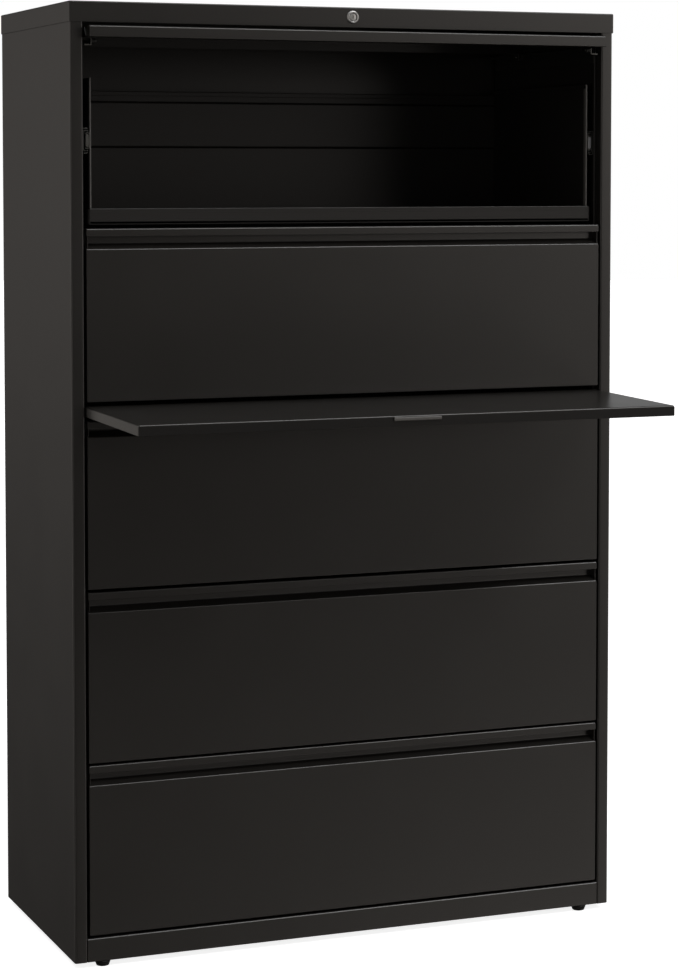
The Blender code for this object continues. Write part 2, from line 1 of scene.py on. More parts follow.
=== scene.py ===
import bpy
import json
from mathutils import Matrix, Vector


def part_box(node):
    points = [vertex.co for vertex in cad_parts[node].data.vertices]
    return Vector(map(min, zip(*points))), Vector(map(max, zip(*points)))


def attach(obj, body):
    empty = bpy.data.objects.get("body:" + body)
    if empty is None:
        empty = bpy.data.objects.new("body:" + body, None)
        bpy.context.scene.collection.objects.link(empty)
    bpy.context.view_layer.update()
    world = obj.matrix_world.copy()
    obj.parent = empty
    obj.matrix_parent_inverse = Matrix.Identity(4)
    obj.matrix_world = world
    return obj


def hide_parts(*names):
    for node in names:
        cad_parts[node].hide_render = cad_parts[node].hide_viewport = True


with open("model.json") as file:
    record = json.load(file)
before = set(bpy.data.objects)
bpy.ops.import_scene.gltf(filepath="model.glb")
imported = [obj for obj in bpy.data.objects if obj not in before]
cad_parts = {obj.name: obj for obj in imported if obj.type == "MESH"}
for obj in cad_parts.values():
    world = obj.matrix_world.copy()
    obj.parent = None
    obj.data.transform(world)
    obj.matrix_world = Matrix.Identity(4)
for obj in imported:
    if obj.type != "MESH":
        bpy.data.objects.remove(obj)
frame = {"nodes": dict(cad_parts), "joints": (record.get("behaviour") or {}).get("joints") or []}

"""Looks of the five-high lateral filing cabinet: its painted sheet metal with real folds and hems, its
ball-bearing slides, its fittings and its finishes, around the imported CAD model.

Lengths are metres, written as millimetres times MM. +X is the cabinet's right, +Y its back, +Z up.
"""

import json
import math

import bmesh
import bpy
from mathutils import Matrix, Vector

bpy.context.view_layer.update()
MM = 0.001

# Sheets and folds
SHEET = 1 * MM
HEAVY_SHEET = 1.2 * MM
TIGHT_BEND = 1.5 * MM
STILE_BEND = 3.2 * MM
EDGE_ROUND = 0.25 * MM
FINE_ROUND = 0.1 * MM
GAP = 0.3 * MM
ARC_STEPS = 6
OVERRUN = 10 * MM  # how far a cutter runs past the faces that it opens

# Case
CAP_BEND = 2.4 * MM
CORNER_BEND = 4 * MM
STILE_RETURN = 18.5 * MM
REAR_FLANGE = 15 * MM
TOE_BEND = 4 * MM
TOE_RETURN = 19.5 * MM
REAR_UPSTAND = 29 * MM

# Levelling feet
STEM_HOLE_RADIUS = 5 * MM
STEM_RADIUS = 4 * MM
THREAD_PITCH = 1.25 * MM
THREAD_ROOT = 0.88  # as a share of the stem's radius
NUT_RADIUS = 7.6 * MM
NUT_HEIGHT = 5 * MM

# Beads, screws and slots
BEAD_HALF = 10 * MM
BEAD_FLANK = 5 * MM
BEAD_RISE = 1.2 * MM
BEAD_INSET = 70 * MM
BEAD_PLACES = (-0.66, -0.22, 0.22, 0.66)  # as a share of the back panel's half width
SCREW_RADIUS = 4 * MM
SCREW_HEIGHT = 1.3 * MM
SCREW_SINK = 0.2 * MM
REAR_SCREWS = 9
SLOT_WIDTH = 5 * MM
SLOT_HEIGHT = 16 * MM
SLOT_PITCH = 32 * MM
SLOT_INSET = 14 * MM  # from the frame's front and rear edges

# Slides
SLIDE_STEEL = 1.2 * MM
SLIDE_CURL = 2.6 * MM
SLIDE_TIP_BEND = 1.3 * MM
SLIDE_WEB_BEND = 2.4 * MM
BALL_RADIUS = 1.35 * MM
BALL_PITCH = 7 * MM
BALL_COUNT = 10
OUTER_RACE = 19.8 * MM  # height of each ball row from the slide's centre line
INNER_RACE = 15.5 * MM
CAGE_HALF_WIDTH = 0.9 * MM
CAGE_HALF_HEIGHT = 0.35 * MM
BUMPER_HALF_WIDTH = 2.9 * MM
BUMPER_HALF_HEIGHT = 11.5 * MM
BUMPER_LENGTH = 9 * MM
BUMPER_CORNER = 2.6 * MM

# Hems and ribs of the drawer bodies and the tray
HEM_WIDTH = 3.2 * MM
HEM_HEIGHT = 9 * MM
HEM_PROUD = 0.15 * MM  # how far a hem stands out of its sheet
HEM_LAP = 1 * MM
HEM_FOOT_ROUND = 1 * MM
HEM_ROUND = 1.5 * MM
HEM_END_ROUND = 0.5 * MM
HEM_INSET = 2 * MM
RIB_PLACES = (0.25, 0.5, 0.75)  # as a share of the floor's depth
RIB_HALF = 8 * MM
RIB_RISE = 1.6 * MM
RIB_BEND = 2 * MM
RIB_REACH = 0.92  # as a share of the floor's width

# Hanger bars
BAR_PLACES = (-0.34, 0.34)  # as a share of the drawer's half width
BAR_WIDTH = 3 * MM
BAR_DEPTH = 16 * MM
BAR_DROP = 1.5 * MM
BAR_FOOT_HALF = 9 * MM
BAR_FOOT_DEPTH = 14 * MM
BAR_FOOT_THICKNESS = 2 * MM

# Tray
TRAY_BEND = 2.5 * MM
TRAY_LIP_HEIGHT = 29.5 * MM
TRAY_LIP_SPREAD = 5.5 * MM  # how far the lip reaches past each side of the tray
TRAY_LIP_DEPTH = 13 * MM
TRAY_SOLE_RISE = 6 * MM
TRAY_SOLE_DEPTH = 20 * MM
TRAY_BACK_DROP = 9.7 * MM  # its back wall ends this far below its sides
TRAY_CORNER = 5 * MM
TRAY_JOGS = (141 * MM, 227 * MM)  # heights of the back wall's two folds above the floor
TRAY_JOG_DEPTH = 3 * MM
RIM_LEAD = 1 * MM
RIM_ROUND = 1.2 * MM
RIM_OVERLAP = 3 * MM  # how far a rim reaches down behind the lip

# Drawer fronts and the door, which has the same section
LIP_HEIGHT = 14 * MM
LIP_THICKNESS = 3 * MM
LIP_ROUND = 1.2 * MM
PULL_HEIGHT = 36.6 * MM
SHORT_PULL_HEIGHT = 28.6 * MM  # drawer_2's panel reaches higher, up behind the shelf's edge
PULL_DEPTH = 18 * MM
PULL_FLOOR_RISE = 9 * MM
PULL_BEND = 4 * MM
PANEL_FOOT_ROUND = 1.8 * MM
PANEL_ROUND = 3 * MM
PANEL_END_ROUND = 1.4 * MM
END_PLATE_INSET = 1.6 * MM
END_PLATE_MARGIN = 2 * MM

# Door fittings
TRACK_LIP = 6 * MM
TRACK_BEND = 2 * MM
ROLLER_RADIUS = 5 * MM
ROLLER_WIDTH = 8 * MM
ROLLER_STANDOFF = 4 * MM  # from the tip of the track outwards
GUIDE_REACH = 9 * MM  # from the track's front end forwards
BRACKET_WIDTH = 14 * MM
BRACKET_HALF = 7 * MM
BRACKET_STEEL = 2 * MM
BRACKET_DROP = 8 * MM
UPRIGHT_HALF = 5 * MM
UPRIGHT_TOP = 4 * MM
AXLE_SCREW_RADIUS = 2.6 * MM
HINGE_INSET = 22 * MM  # from the door's rear edge forwards
HINGE_HALF = 12 * MM
HINGE_LEG = 24 * MM
HINGE_DROP = 7 * MM
HINGE_STANDOFF = 2 * MM
HINGE_SCREW_RADIUS = 3 * MM
PIN_HALF = 1.5 * MM

# Posting shelf, in axes that are tilted with it about the case's front plane
SHELF_TOP = 1005 * MM
SHELF_FRONT = -299 * MM
SHELF_REAR = 121 * MM
SHELF_THICKNESS = 19 * MM
SHELF_HALF = 504 * MM
SHELF_RETURN = 10 * MM
SHELF_BEND = 2.6 * MM
STIFFENER_PLACES = (0.3, 0.7)  # as a share of the shelf's depth
STIFFENER_FOOT = 30 * MM
STIFFENER_SHOULDER = 18 * MM
STIFFENER_CROWN = 14 * MM
STIFFENER_DEPTH = 11 * MM
STIFFENER_HALF = 462 * MM
STRIP_PROUD = 0.2 * MM
STRIP_MARGIN = 0.6 * MM
TAB_LENGTH = 7 * MM
TAB_PROUD = 0.3 * MM
PULL_HALF = 44.5 * MM
PULL_REACH = 302.4 * MM
PULL_TOP = -2.5 * MM
PULL_BAR_HEIGHT = 7 * MM
PULL_BAR_ROUND = 2.2 * MM
RUNNER_LEG_X = 504.1 * MM
RUNNER_WEB_X = 484 * MM
RUNNER_TIP_X = 470 * MM
RUNNER_FRONT = 24 * MM
RUNNER_REAR = 455 * MM
RUNNER_LEG = 14 * MM

# Lock
LOCK_HOLE_RADIUS = 10.8 * MM
BARREL_GAP = 0.4 * MM  # around the barrel, in its hole
BORE_RADIUS = 7.3 * MM
PLUG_RADIUS = 7 * MM
PLUG_CHAMFER = 0.6 * MM
KEYWAY_WIDTH = 1.6 * MM
KEYWAY_HEIGHT = 8 * MM
KEYWAY_DEPTH = 3 * MM
CAM_STEEL = 2 * MM
CAM_HALF = 6 * MM
CAM_ROUND = 3 * MM

# Stage and camera
FLOOR_RADIUS = 30.0
FLOOR_DROP = 0.1 * MM
FLOOR_GLOW = 0.85
CAMERA_PLACE = (-1.8036, -4.5251, 1.4175)
CAMERA_YAW = 0.38085
CAMERA_PITCH = 0.0565
CAMERA_LENS = 97.035
CAMERA_SENSOR = 36.0
CAMERA_SHIFT = -0.17

SIDES = {"left": -1, "right": 1}
DRAWERS = [f"drawer_{number}" for number in range(1, 5)]
CARRIED = {"lock_bar": "zinc", "counterweight": "iron"}  # CAD nodes that keep their own meshes


# ------------ shaders


def new_node(tree, kind, **sockets):
    """A node with plain values on its sockets, whose names have _ here for each space."""
    node = tree.nodes.new("ShaderNode" + kind)
    for socket, value in sockets.items():
        node.inputs[socket.replace("_", " ")].default_value = value
    return node


def link(source, target):
    target.id_data.links.new(source, target)


def new_shader(name, roughness, metallic=0.0):
    """A material with its Principled shader, its node tree and its links."""
    material = bpy.data.materials.new(name)
    material.use_nodes = True
    tree = material.node_tree
    shader = tree.nodes["Principled BSDF"]
    shader.inputs["Roughness"].default_value = roughness
    shader.inputs["Metallic"].default_value = metallic
    return material, tree, shader


def object_noise(tree, scale, stretch=(1.0, 1.0, 1.0), detail=4.0):
    """A noise in the piece's own axes. scale is in patterns per metre."""
    place = new_node(tree, "TexCoord")
    mapping = new_node(tree, "Mapping", Scale=stretch)
    noise = new_node(tree, "TexNoise", Scale=scale, Detail=detail)
    link(place.outputs["Object"], mapping.inputs["Vector"])
    link(mapping.outputs["Vector"], noise.inputs["Vector"])
    return noise.outputs["Fac"]


def ranged(tree, value, low, high, source=(0.3, 0.7)):
    """A value mapped from its source range to low..high, and held there."""
    node = new_node(tree, "MapRange", From_Min=source[0], From_Max=source[1], To_Min=low, To_Max=high)
    link(value, node.inputs["Value"])
    return node.outputs["Result"]


def mixed(tree, factor, first, second):
    """A colour between two, by a factor. Each colour is a tuple or another node's output."""
    node = new_node(tree, "Mix")
    node.data_type = "RGBA"
    link(factor, node.inputs["Factor"])
    for socket, colour in (("A", first), ("B", second)):
        target = next(i for i in node.inputs if i.name == socket and i.type == "RGBA")
        if isinstance(colour, tuple):
            target.default_value = (*colour, 1.0)
        else:
            link(colour, target)
    return next(o for o in node.outputs if o.type == "RGBA")


def add_bump(tree, shader, height, strength, distance):
    bump = new_node(tree, "Bump", Strength=strength, Distance=distance)
    link(height, bump.inputs["Height"])
    link(bump.outputs["Normal"], shader.inputs["Normal"])


def painted(name, dark, light, fleck, roughness, specular=0.85):
    """Baked enamel on steel: a fine orange peel, barely cloudy colour and gloss, and tiny pale flecks."""
    material, tree, shader = new_shader(name, roughness)
    shader.inputs["Specular IOR Level"].default_value = specular
    clouds = object_noise(tree, 3.0)
    colour = mixed(tree, ranged(tree, clouds, 0.0, 1.0), dark, light)
    specks = object_noise(tree, 1400.0, detail=1.0)
    colour = mixed(tree, ranged(tree, specks, 0.0, 0.12, (0.55, 0.8)), colour, fleck)
    link(colour, shader.inputs["Base Color"])
    gloss = ranged(tree, object_noise(tree, 9.0, detail=2.0), roughness - 0.008, roughness + 0.008)
    link(gloss, shader.inputs["Roughness"])
    peel = object_noise(tree, 620.0, detail=1.0)
    add_bump(tree, shader, peel, 0.05, 0.04 * MM)
    return material


def plated(name, dark, light, roughness, along):
    """Plated steel with rolling marks along one axis and faint crystals."""
    material, tree, shader = new_shader(name, roughness, metallic=1.0)
    stretch = tuple(0.04 if axis == along else 1.0 for axis in "XYZ")
    marks = object_noise(tree, 1200.0, stretch)
    colour = mixed(tree, ranged(tree, marks, 0.0, 1.0), dark, light)
    cells = new_node(tree, "TexVoronoi", Scale=140.0)
    link(new_node(tree, "TexCoord").outputs["Object"], cells.inputs["Vector"])
    shade = ranged(tree, cells.outputs["Distance"], 0.0, 0.25, (0.0, 1.0))
    colour = mixed(tree, shade, colour, dark)
    link(colour, shader.inputs["Base Color"])
    link(ranged(tree, marks, roughness - 0.06, roughness + 0.10), shader.inputs["Roughness"])
    add_bump(tree, shader, marks, 0.08, 0.03 * MM)
    return material


def moulded(name, colour, light, roughness):
    """Moulded plastic with a fine leathery skin."""
    material, tree, shader = new_shader(name, roughness)
    grain = object_noise(tree, 900.0, detail=3.0)
    link(mixed(tree, ranged(tree, grain, 0.0, 1.0), colour, light), shader.inputs["Base Color"])
    link(ranged(tree, grain, roughness + 0.05, roughness - 0.05), shader.inputs["Roughness"])
    add_bump(tree, shader, grain, 0.25, 0.08 * MM)
    return material


def cast(name, dark, light):
    """Rough cast iron with rust-brown patches."""
    material, tree, shader = new_shader(name, 0.8, metallic=0.5)
    patches = object_noise(tree, 30.0, detail=8.0)
    link(mixed(tree, ranged(tree, patches, 0.0, 1.0), dark, light), shader.inputs["Base Color"])
    add_bump(tree, shader, object_noise(tree, 350.0), 0.5, 0.4 * MM)
    return material


# Each finish's darkest and lightest colour
ENAMEL = ((0.0162, 0.0147, 0.0132), (0.0176, 0.0160, 0.0143))
INNER_ENAMEL = ((0.0125, 0.0115, 0.0106), (0.0137, 0.0127, 0.0117))
# Far paler than the case's enamel: painted light on the shelf's lit sides and a painted highlight on the
# tray's rims; the shelf's pull is made in it too
PAINTED_LIGHT_ENAMEL = ((0.100, 0.096, 0.090), (0.130, 0.125, 0.118))
# Darker than the case's enamel: painted shade on the shelf's front face
PAINTED_SHADE_ENAMEL = ((0.0080, 0.0074, 0.0068), (0.0092, 0.0085, 0.0078))
# Zinc darkened far below bright plate: partly a dark plating, partly painted shade for the slides and
# fittings that sit in the cabinet's shade
SHADE_DARKENED_ZINC = ((0.11, 0.11, 0.105), (0.19, 0.19, 0.18))
BALL_STEEL = ((0.40, 0.40, 0.40), (0.55, 0.55, 0.55))
CHROME = ((0.55, 0.55, 0.55), (0.75, 0.75, 0.74))
PLUG_STEEL = ((0.48, 0.48, 0.47), (0.66, 0.66, 0.65))
# Pale nylon for the right bumpers only: a painted highlight at the slide ends on the lit side
HIGHLIGHT_BUMPER_NYLON = ((0.20, 0.20, 0.21), (0.26, 0.26, 0.27))
GLIDE_NYLON = ((0.010, 0.010, 0.010), (0.020, 0.020, 0.019))
CAST_IRON = ((0.035, 0.033, 0.032), (0.085, 0.066, 0.054))
FLECK = (0.0420, 0.0400, 0.0370)
# The flecks of that pale enamel, which is painted light
PAINTED_LIGHT_FLECK = (0.18, 0.175, 0.17)

# Each finish's material and the slot that it belongs to
FINISHES = {
    "case": (painted("case_enamel", *ENAMEL, FLECK, 0.30), "case_paint"),
    "front": (painted("front_enamel", *ENAMEL, FLECK, 0.30), "front_paint"),
    "inner": (painted("inner_enamel", *INNER_ENAMEL, FLECK, 0.42, 0.55), "inner_paint"),
    # Painted light: a pale enamel for the lit shelf sides, the tray rims and the shelf's pull
    "edge": (painted("painted_light_enamel", *PAINTED_LIGHT_ENAMEL, PAINTED_LIGHT_FLECK, 0.5), "case_paint"),
    # Painted shade: an enamel darker than the case's, for the shelf's front face
    "painted_shade": (painted("painted_shade_enamel", *PAINTED_SHADE_ENAMEL, INNER_ENAMEL[1], 0.45, 0.35), "case_paint"),
    # Zinc darkened in part as painted shade
    "zinc": (plated("shade_darkened_zinc_plate", *SHADE_DARKENED_ZINC, 0.42, "Y"), "slide_zinc"),
    "balls": (plated("ball_steel", *BALL_STEEL, 0.20, "Y"), "slide_zinc"),
    "nylon": (moulded("highlight_bumper_nylon", *HIGHLIGHT_BUMPER_NYLON, 0.50), "foot_plastic"),
    "chrome": (plated("lock_chrome_plate", *CHROME, 0.36, "Y"), "lock_chrome"),
    "plug": (plated("plug_steel", *PLUG_STEEL, 0.42, "Z"), "lock_chrome"),
    "plastic": (moulded("glide_nylon", *GLIDE_NYLON, 0.50), "foot_plastic"),
    "iron": (cast("ballast_casting", *CAST_IRON), "ballast_iron"),
}


# ------------ mesh helpers


def filleted(corners):
    """Points along an outline of (a, b, radius) corners, with an arc in place of each that has a radius."""
    points = []
    for index, (a, b, radius) in enumerate(corners):
        corner = Vector((a, b))
        if radius == 0:
            points.append(corner)
            continue
        before = Vector(corners[index - 1][:2])
        after = Vector(corners[(index + 1) % len(corners)][:2])
        to_before = (before - corner).normalized()
        to_after = (after - corner).normalized()
        half = to_before.angle(to_after) / 2
        centre = corner + (to_before + to_after).normalized() * (radius / math.sin(half))
        first = (corner + to_before * (radius / math.tan(half)) - centre).normalized()
        last = (corner + to_after * (radius / math.tan(half)) - centre).normalized()
        points += [centre + first.slerp(last, step / ARC_STEPS) * radius for step in range(ARC_STEPS + 1)]
    return points


def rectangle(a0, b0, a1, b1, lower_round, upper_round):
    """The corners of a rectangle, for filleted."""
    return [(a0, b0, lower_round), (a1, b0, lower_round), (a1, b1, upper_round), (a0, b1, upper_round)]


def offset_left(points, distance):
    """An open outline moved sideways, to the left as it is followed."""
    moved = []
    for index, point in enumerate(points):
        runs = []
        if index > 0:
            runs.append((point - points[index - 1]).normalized())
        if index < len(points) - 1:
            runs.append((points[index + 1] - point).normalized())
        normals = [Vector((-run.y, run.x)) for run in runs]
        middle = sum(normals, Vector((0, 0))).normalized()
        moved.append(point + middle * (distance / middle.dot(normals[0])))
    return moved


def along_x(point, distance):
    return Vector((distance, point[0], point[1]))


def along_y(point, distance):
    return Vector((point[0], distance, point[1]))


def along_z(point, distance):
    return Vector((point[0], point[1], distance))


def add_folded(bm, corners, thickness, place, start, end):
    """A strip of sheet bent along an outline. Its thickness is on the left of the outline if positive."""
    skin = filleted(corners)
    other = offset_left(skin, thickness)
    rings = []
    for distance in (start, end):
        near = [bm.verts.new(place(point, distance)) for point in skin]
        far = [bm.verts.new(place(point, distance)) for point in other]
        rings.append((near, far))
    (near0, far0), (near1, far1) = rings
    for i in range(len(skin) - 1):
        j = i + 1
        bm.faces.new((near0[i], near0[j], near1[j], near1[i]))
        bm.faces.new((far0[i], far1[i], far1[j], far0[j]))
        bm.faces.new((near0[i], far0[i], far0[j], near0[j]))
        bm.faces.new((near1[i], near1[j], far1[j], far1[i]))
    for i in (0, len(skin) - 1):
        bm.faces.new((near0[i], near1[i], far1[i], far0[i]))


def add_prism(bm, corners, place, start, end, end_round=0):
    """A closed outline drawn out from start to end, with its end edges rounded."""
    outline = filleted(corners)
    rings = [[bm.verts.new(place(point, distance)) for point in outline] for distance in (start, end)]
    caps = [bm.faces.new(ring) for ring in rings]
    for i in range(len(outline)):
        j = (i + 1) % len(outline)
        bm.faces.new((rings[0][i], rings[0][j], rings[1][j], rings[1][i]))
    if end_round:
        edges = [edge for cap in caps for edge in cap.edges]
        bmesh.ops.bevel(bm, geom=edges, offset=end_round, segments=3, profile=0.5, affect="EDGES")


def add_box(bm, corner, opposite):
    """A plain block between two opposite corners. Its edges are softened with the rest of the piece."""
    low = Vector([min(pair) for pair in zip(corner, opposite)])
    high = Vector([max(pair) for pair in zip(corner, opposite)])
    made = bmesh.ops.create_cube(bm, size=1.0)["verts"]
    bmesh.ops.scale(bm, verts=made, vec=high - low)
    bmesh.ops.translate(bm, verts=made, vec=(low + high) / 2)


def add_turned(bm, profile, axis_point, axis, segments=32):
    """A profile of (radius, distance along the axis) turned about that axis. Ends on the axis are closed."""
    turn = Vector((0, 0, 1.0)).rotation_difference(Vector(axis)).to_matrix().to_4x4()
    place = Matrix.Translation(axis_point) @ turn
    rings = []
    for radius, height in profile:
        if rings and (radius, height) == profile[0]:
            rings.append(rings[0])
            continue
        if radius == 0:
            rings.append([bm.verts.new(place @ Vector((0, 0, height)))])
            continue
        ring = []
        for step in range(segments):
            angle = 2 * math.pi * step / segments
            point = Vector((radius * math.cos(angle), radius * math.sin(angle), height))
            ring.append(bm.verts.new(place @ point))
        rings.append(ring)
    for lower, upper in zip(rings, rings[1:]):
        for step in range(segments):
            after = (step + 1) % segments
            corners = [lower[step % len(lower)], lower[after % len(lower)]]
            corners += [upper[after % len(upper)], upper[step % len(upper)]]
            distinct = list(dict.fromkeys(corners))
            if len(distinct) > 2:
                bm.faces.new(distinct)
    if rings[0] is not rings[-1]:
        for ring in (rings[0], rings[-1]):
            if len(ring) > 1:
                bm.faces.new(ring)


def to_object(bm, name):
    bmesh.ops.recalc_face_normals(bm, faces=bm.faces)
    mesh = bpy.data.meshes.new(name)
    bm.to_mesh(mesh)
    bm.free()
    obj = bpy.data.objects.new(name, mesh)
    bpy.context.scene.collection.objects.link(obj)
    return obj


def bake(obj):
    """Turns the modifiers into the mesh itself."""
    depsgraph = bpy.context.evaluated_depsgraph_get()
    mesh = bpy.data.meshes.new_from_object(obj.evaluated_get(depsgraph))
    obj.modifiers.clear()
    old = obj.data
    obj.data = mesh
    bpy.data.meshes.remove(old)


def cut(bm, cutter_bm):
    """The mesh without the cutter's shape."""
    whole = to_object(bm, "whole")
    cutter = to_object(cutter_bm, "cutter")
    modifier = whole.modifiers.new("cut", "BOOLEAN")
    modifier.operation = "DIFFERENCE"
    modifier.object = cutter
    bake(whole)
    bpy.data.objects.remove(cutter)
    rest = bmesh.new()
    rest.from_mesh(whole.data)
    bpy.data.objects.remove(whole)
    return rest


def soften(obj, width=EDGE_ROUND, sharp_angle=50.0):
    """Rounds the sharp edges a little and shades every fold smooth, with the flat faces left flat."""
    if width:
        bevel = obj.modifiers.new("edges", "BEVEL")
        bevel.width = width
        bevel.segments = 2
        bevel.limit_method = "ANGLE"
        bevel.angle_limit = math.radians(sharp_angle)
        bake(obj)
    obj.data.shade_smooth()
    obj.data.set_sharp_from_angle(angle=math.radians(sharp_angle))
    normals = obj.modifiers.new("normals", "WEIGHTED_NORMAL")
    normals.keep_sharp = True
    bake(obj)


def install(obj, body, finish, *stands_for):
    """Gives a piece its finish and its body, and hides the CAD nodes that it stands for."""
    material, slot = FINISHES[finish]
    obj.data.materials.clear()
    obj.data.materials.append(material)
    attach(obj, body)
    if stands_for:
        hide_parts(*stands_for)


def make_piece(bm, name, body, finish, *stands_for, width=EDGE_ROUND):
    """A whole piece from its mesh: softened, then installed."""
    piece = to_object(bm, name)
    soften(piece, width)
    install(piece, body, finish, *stands_for)


def side_box(node):
    """The box of a node at one side of the cabinet, then its outer and its inner X face."""
    low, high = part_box(node)
    outer, inner = (high.x, low.x) if low.x > 0 else (low.x, high.x)
    return low, high, outer, inner


def add_pan(bm, low, high, open_faces, radius, thickness, segments=5):
    """A folded tray: a box with rounded folds and some faces open, as a closed sheet of that thickness."""
    shell = bmesh.new()
    add_box(shell, low, high)
    shell.normal_update()
    gone = [face for face in shell.faces if any(face.normal.dot(Vector(d)) > 0.99 for d in open_faces)]
    bmesh.ops.delete(shell, geom=gone, context="FACES_ONLY")
    folds = [edge for edge in shell.edges if not edge.is_boundary]
    bmesh.ops.bevel(shell, geom=folds, offset=radius, segments=segments, profile=0.5, affect="EDGES")
    obj = to_object(shell, "pan")
    solid = obj.modifiers.new("sheet", "SOLIDIFY")
    solid.thickness = thickness
    solid.offset = -1.0
    solid.use_even_offset = True
    bake(obj)
    bm.from_mesh(obj.data)
    bpy.data.objects.remove(obj)


# ------------ case


def build_cap():
    low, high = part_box("top_cap")
    lock_low, lock_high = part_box("lock_housing")
    bm = bmesh.new()
    add_pan(bm, low, high, [(0, 0, -1)], CAP_BEND, HEAVY_SHEET)
    hole = bmesh.new()
    centre = (0, low.y, (lock_low.z + lock_high.z) / 2)
    add_turned(hole, [(LOCK_HOLE_RADIUS, -OVERRUN), (LOCK_HOLE_RADIUS, OVERRUN)], centre, (0, 1, 0), 48)
    make_piece(cut(bm, hole), "cap_shell", "root", "case", "top_cap")


def build_case_side(side, sign):
    """Rear flange, side, front stile and the stile's return, folded from one sheet."""
    node = side + "_side_panel"
    low, high, outer, inner = side_box(node)
    corners = [
        (outer - sign * REAR_FLANGE, high.y, 0), (outer, high.y, TIGHT_BEND),
        (outer, low.y, CORNER_BEND), (inner, low.y, STILE_BEND), (inner, low.y + STILE_RETURN, 0),
    ]
    bm = bmesh.new()
    add_folded(bm, corners, -sign * SHEET, along_z, low.z, high.z)
    make_piece(bm, side + "_case_side", "root", "case", node)


def build_base():
    """The base pan with the toe rail folded up from it, and a hole for each foot's stem."""
    low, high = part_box("base_pan")
    corners = [
        (low.y + TOE_RETURN, high.z, 0), (low.y, high.z, TOE_BEND), (low.y, low.z, TIGHT_BEND),
        (high.y, low.z, TIGHT_BEND), (high.y, low.z + REAR_UPSTAND, 0),
    ]
    bm = bmesh.new()
    add_folded(bm, corners, HEAVY_SHEET, along_x, low.x, high.x)
    holes = bmesh.new()
    for name in [f"{end}_{side}_foot" for end in ("front", "rear") for side in SIDES]:
        foot_low, foot_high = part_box(name)
        centre = (foot_low + foot_high) / 2
        centre.z = low.z
        add_turned(holes, [(STEM_HOLE_RADIUS, -OVERRUN), (STEM_HOLE_RADIUS, OVERRUN)], centre, (0, 0, 1), 24)
    make_piece(cut(bm, holes), "base_sheet", "root", "case", "base_pan")


def build_back():
    """The back panel, flat inside, with upright stiffening beads outside."""
    low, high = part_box("back_panel")
    beads = [share * high.x for share in BEAD_PLACES]
    flat = BEAD_HALF - BEAD_FLANK
    xs = {low.x, high.x}
    for bead in beads:
        xs |= {bead - BEAD_HALF, bead - flat, bead + flat, bead + BEAD_HALF}
    start = low.z + BEAD_INSET
    end = high.z - BEAD_INSET
    zs = (low.z, start, start + BEAD_FLANK * 2, end - BEAD_FLANK * 2, end, high.z)

    def rise(x, z):
        across = max(BEAD_HALF - abs(x - bead) for bead in beads) / BEAD_FLANK
        along = min(z - start, end - z) / (BEAD_FLANK * 2)
        return BEAD_RISE * max(0, min(across, along, 1.0))

    bm = bmesh.new()
    rows = [[bm.verts.new((x, high.y + rise(x, z), z)) for x in sorted(xs)] for z in zs]
    for lower, upper in zip(rows, rows[1:]):
        for i in range(len(lower) - 1):
            bm.faces.new((lower[i + 1], lower[i], upper[i], upper[i + 1]))
    back = to_object(bm, "back_sheet")
    if back.data.polygons[0].normal.y < 0:
        back.data.flip_normals()
    outside = len(back.data.vertices)
    solid = back.modifiers.new("sheet", "SOLIDIFY")
    solid.thickness = SHEET
    solid.offset = -1.0
    bake(back)
    for vertex in back.data.vertices[outside:]:
        vertex.co.y = low.y
    soften(back, sharp_angle=60.0)
    install(back, "root", "case", "back_panel")


def add_screw(bm, point, direction, radius=SCREW_RADIUS):
    """A low domed screw head with a round drive recess."""
    shares = [(0, 0.35), (0.3, 0.35), (0.4, 0.95), (0.62, 1), (0.88, 0.7), (1, 0.15)]
    profile = [(radius * out, SCREW_HEIGHT * up) for out, up in shares]
    add_turned(bm, [*profile, (radius, -SCREW_SINK), (0, -SCREW_SINK)], point, direction, 20)


def build_rear_screws(side, sign):
    low, high, outer, _ = side_box(side + "_side_panel")
    bm = bmesh.new()
    for step in range(REAR_SCREWS):
        z = low.z + (high.z - low.z) * (step + 0.5) / REAR_SCREWS
        add_screw(bm, (outer - sign * REAR_FLANGE / 2, high.y, z), (0, 1, 0))
    make_piece(bm, side + "_rear_screws", "root", "zinc", width=0)


def build_frame(side, sign):
    """The inner channel that the slides are fixed to, with its ladder of slots."""
    node = side + "_side_frame"
    low, high, outer, inner = side_box(node)
    corners = [
        (outer, low.y, 0), (inner, low.y, TIGHT_BEND), (inner, high.y, TIGHT_BEND),
        (outer, high.y, 0),
    ]
    bm = bmesh.new()
    add_folded(bm, corners, -sign * HEAVY_SHEET, along_z, low.z, high.z)
    slots = bmesh.new()
    count = int((high.z - low.z) / SLOT_PITCH) - 1
    reach = Vector((2 * HEAVY_SHEET, SLOT_WIDTH / 2, SLOT_HEIGHT / 2))
    for y in (low.y + SLOT_INSET, high.y - SLOT_INSET):
        for step in range(count):
            centre = Vector((inner, y, low.z + (step + 1) * SLOT_PITCH))
            add_box(slots, centre - reach, centre + reach)
    make_piece(cut(bm, slots), side + "_slotted_channel", "root", "inner", node)


def build_glide(name, centre, radius, pad_top):
    """A foot's moulded pad, from the floor up to pad_top."""
    low = [(0, 0), (radius * 0.69, 0), (radius * 0.75, 0.4 * MM), (radius * 0.78, 1.3 * MM)]
    shares = [(0.95, 0.8), (1, 0.9), (0.98, 0.97), (0.93, 1), (0, 1)]
    bm = bmesh.new()
    profile = low + [(radius * out, pad_top * up) for out, up in shares]
    add_turned(bm, profile, centre, (0, 0, 1), 40)
    make_piece(bm, name + "_glide", "root", "plastic", name, width=0)


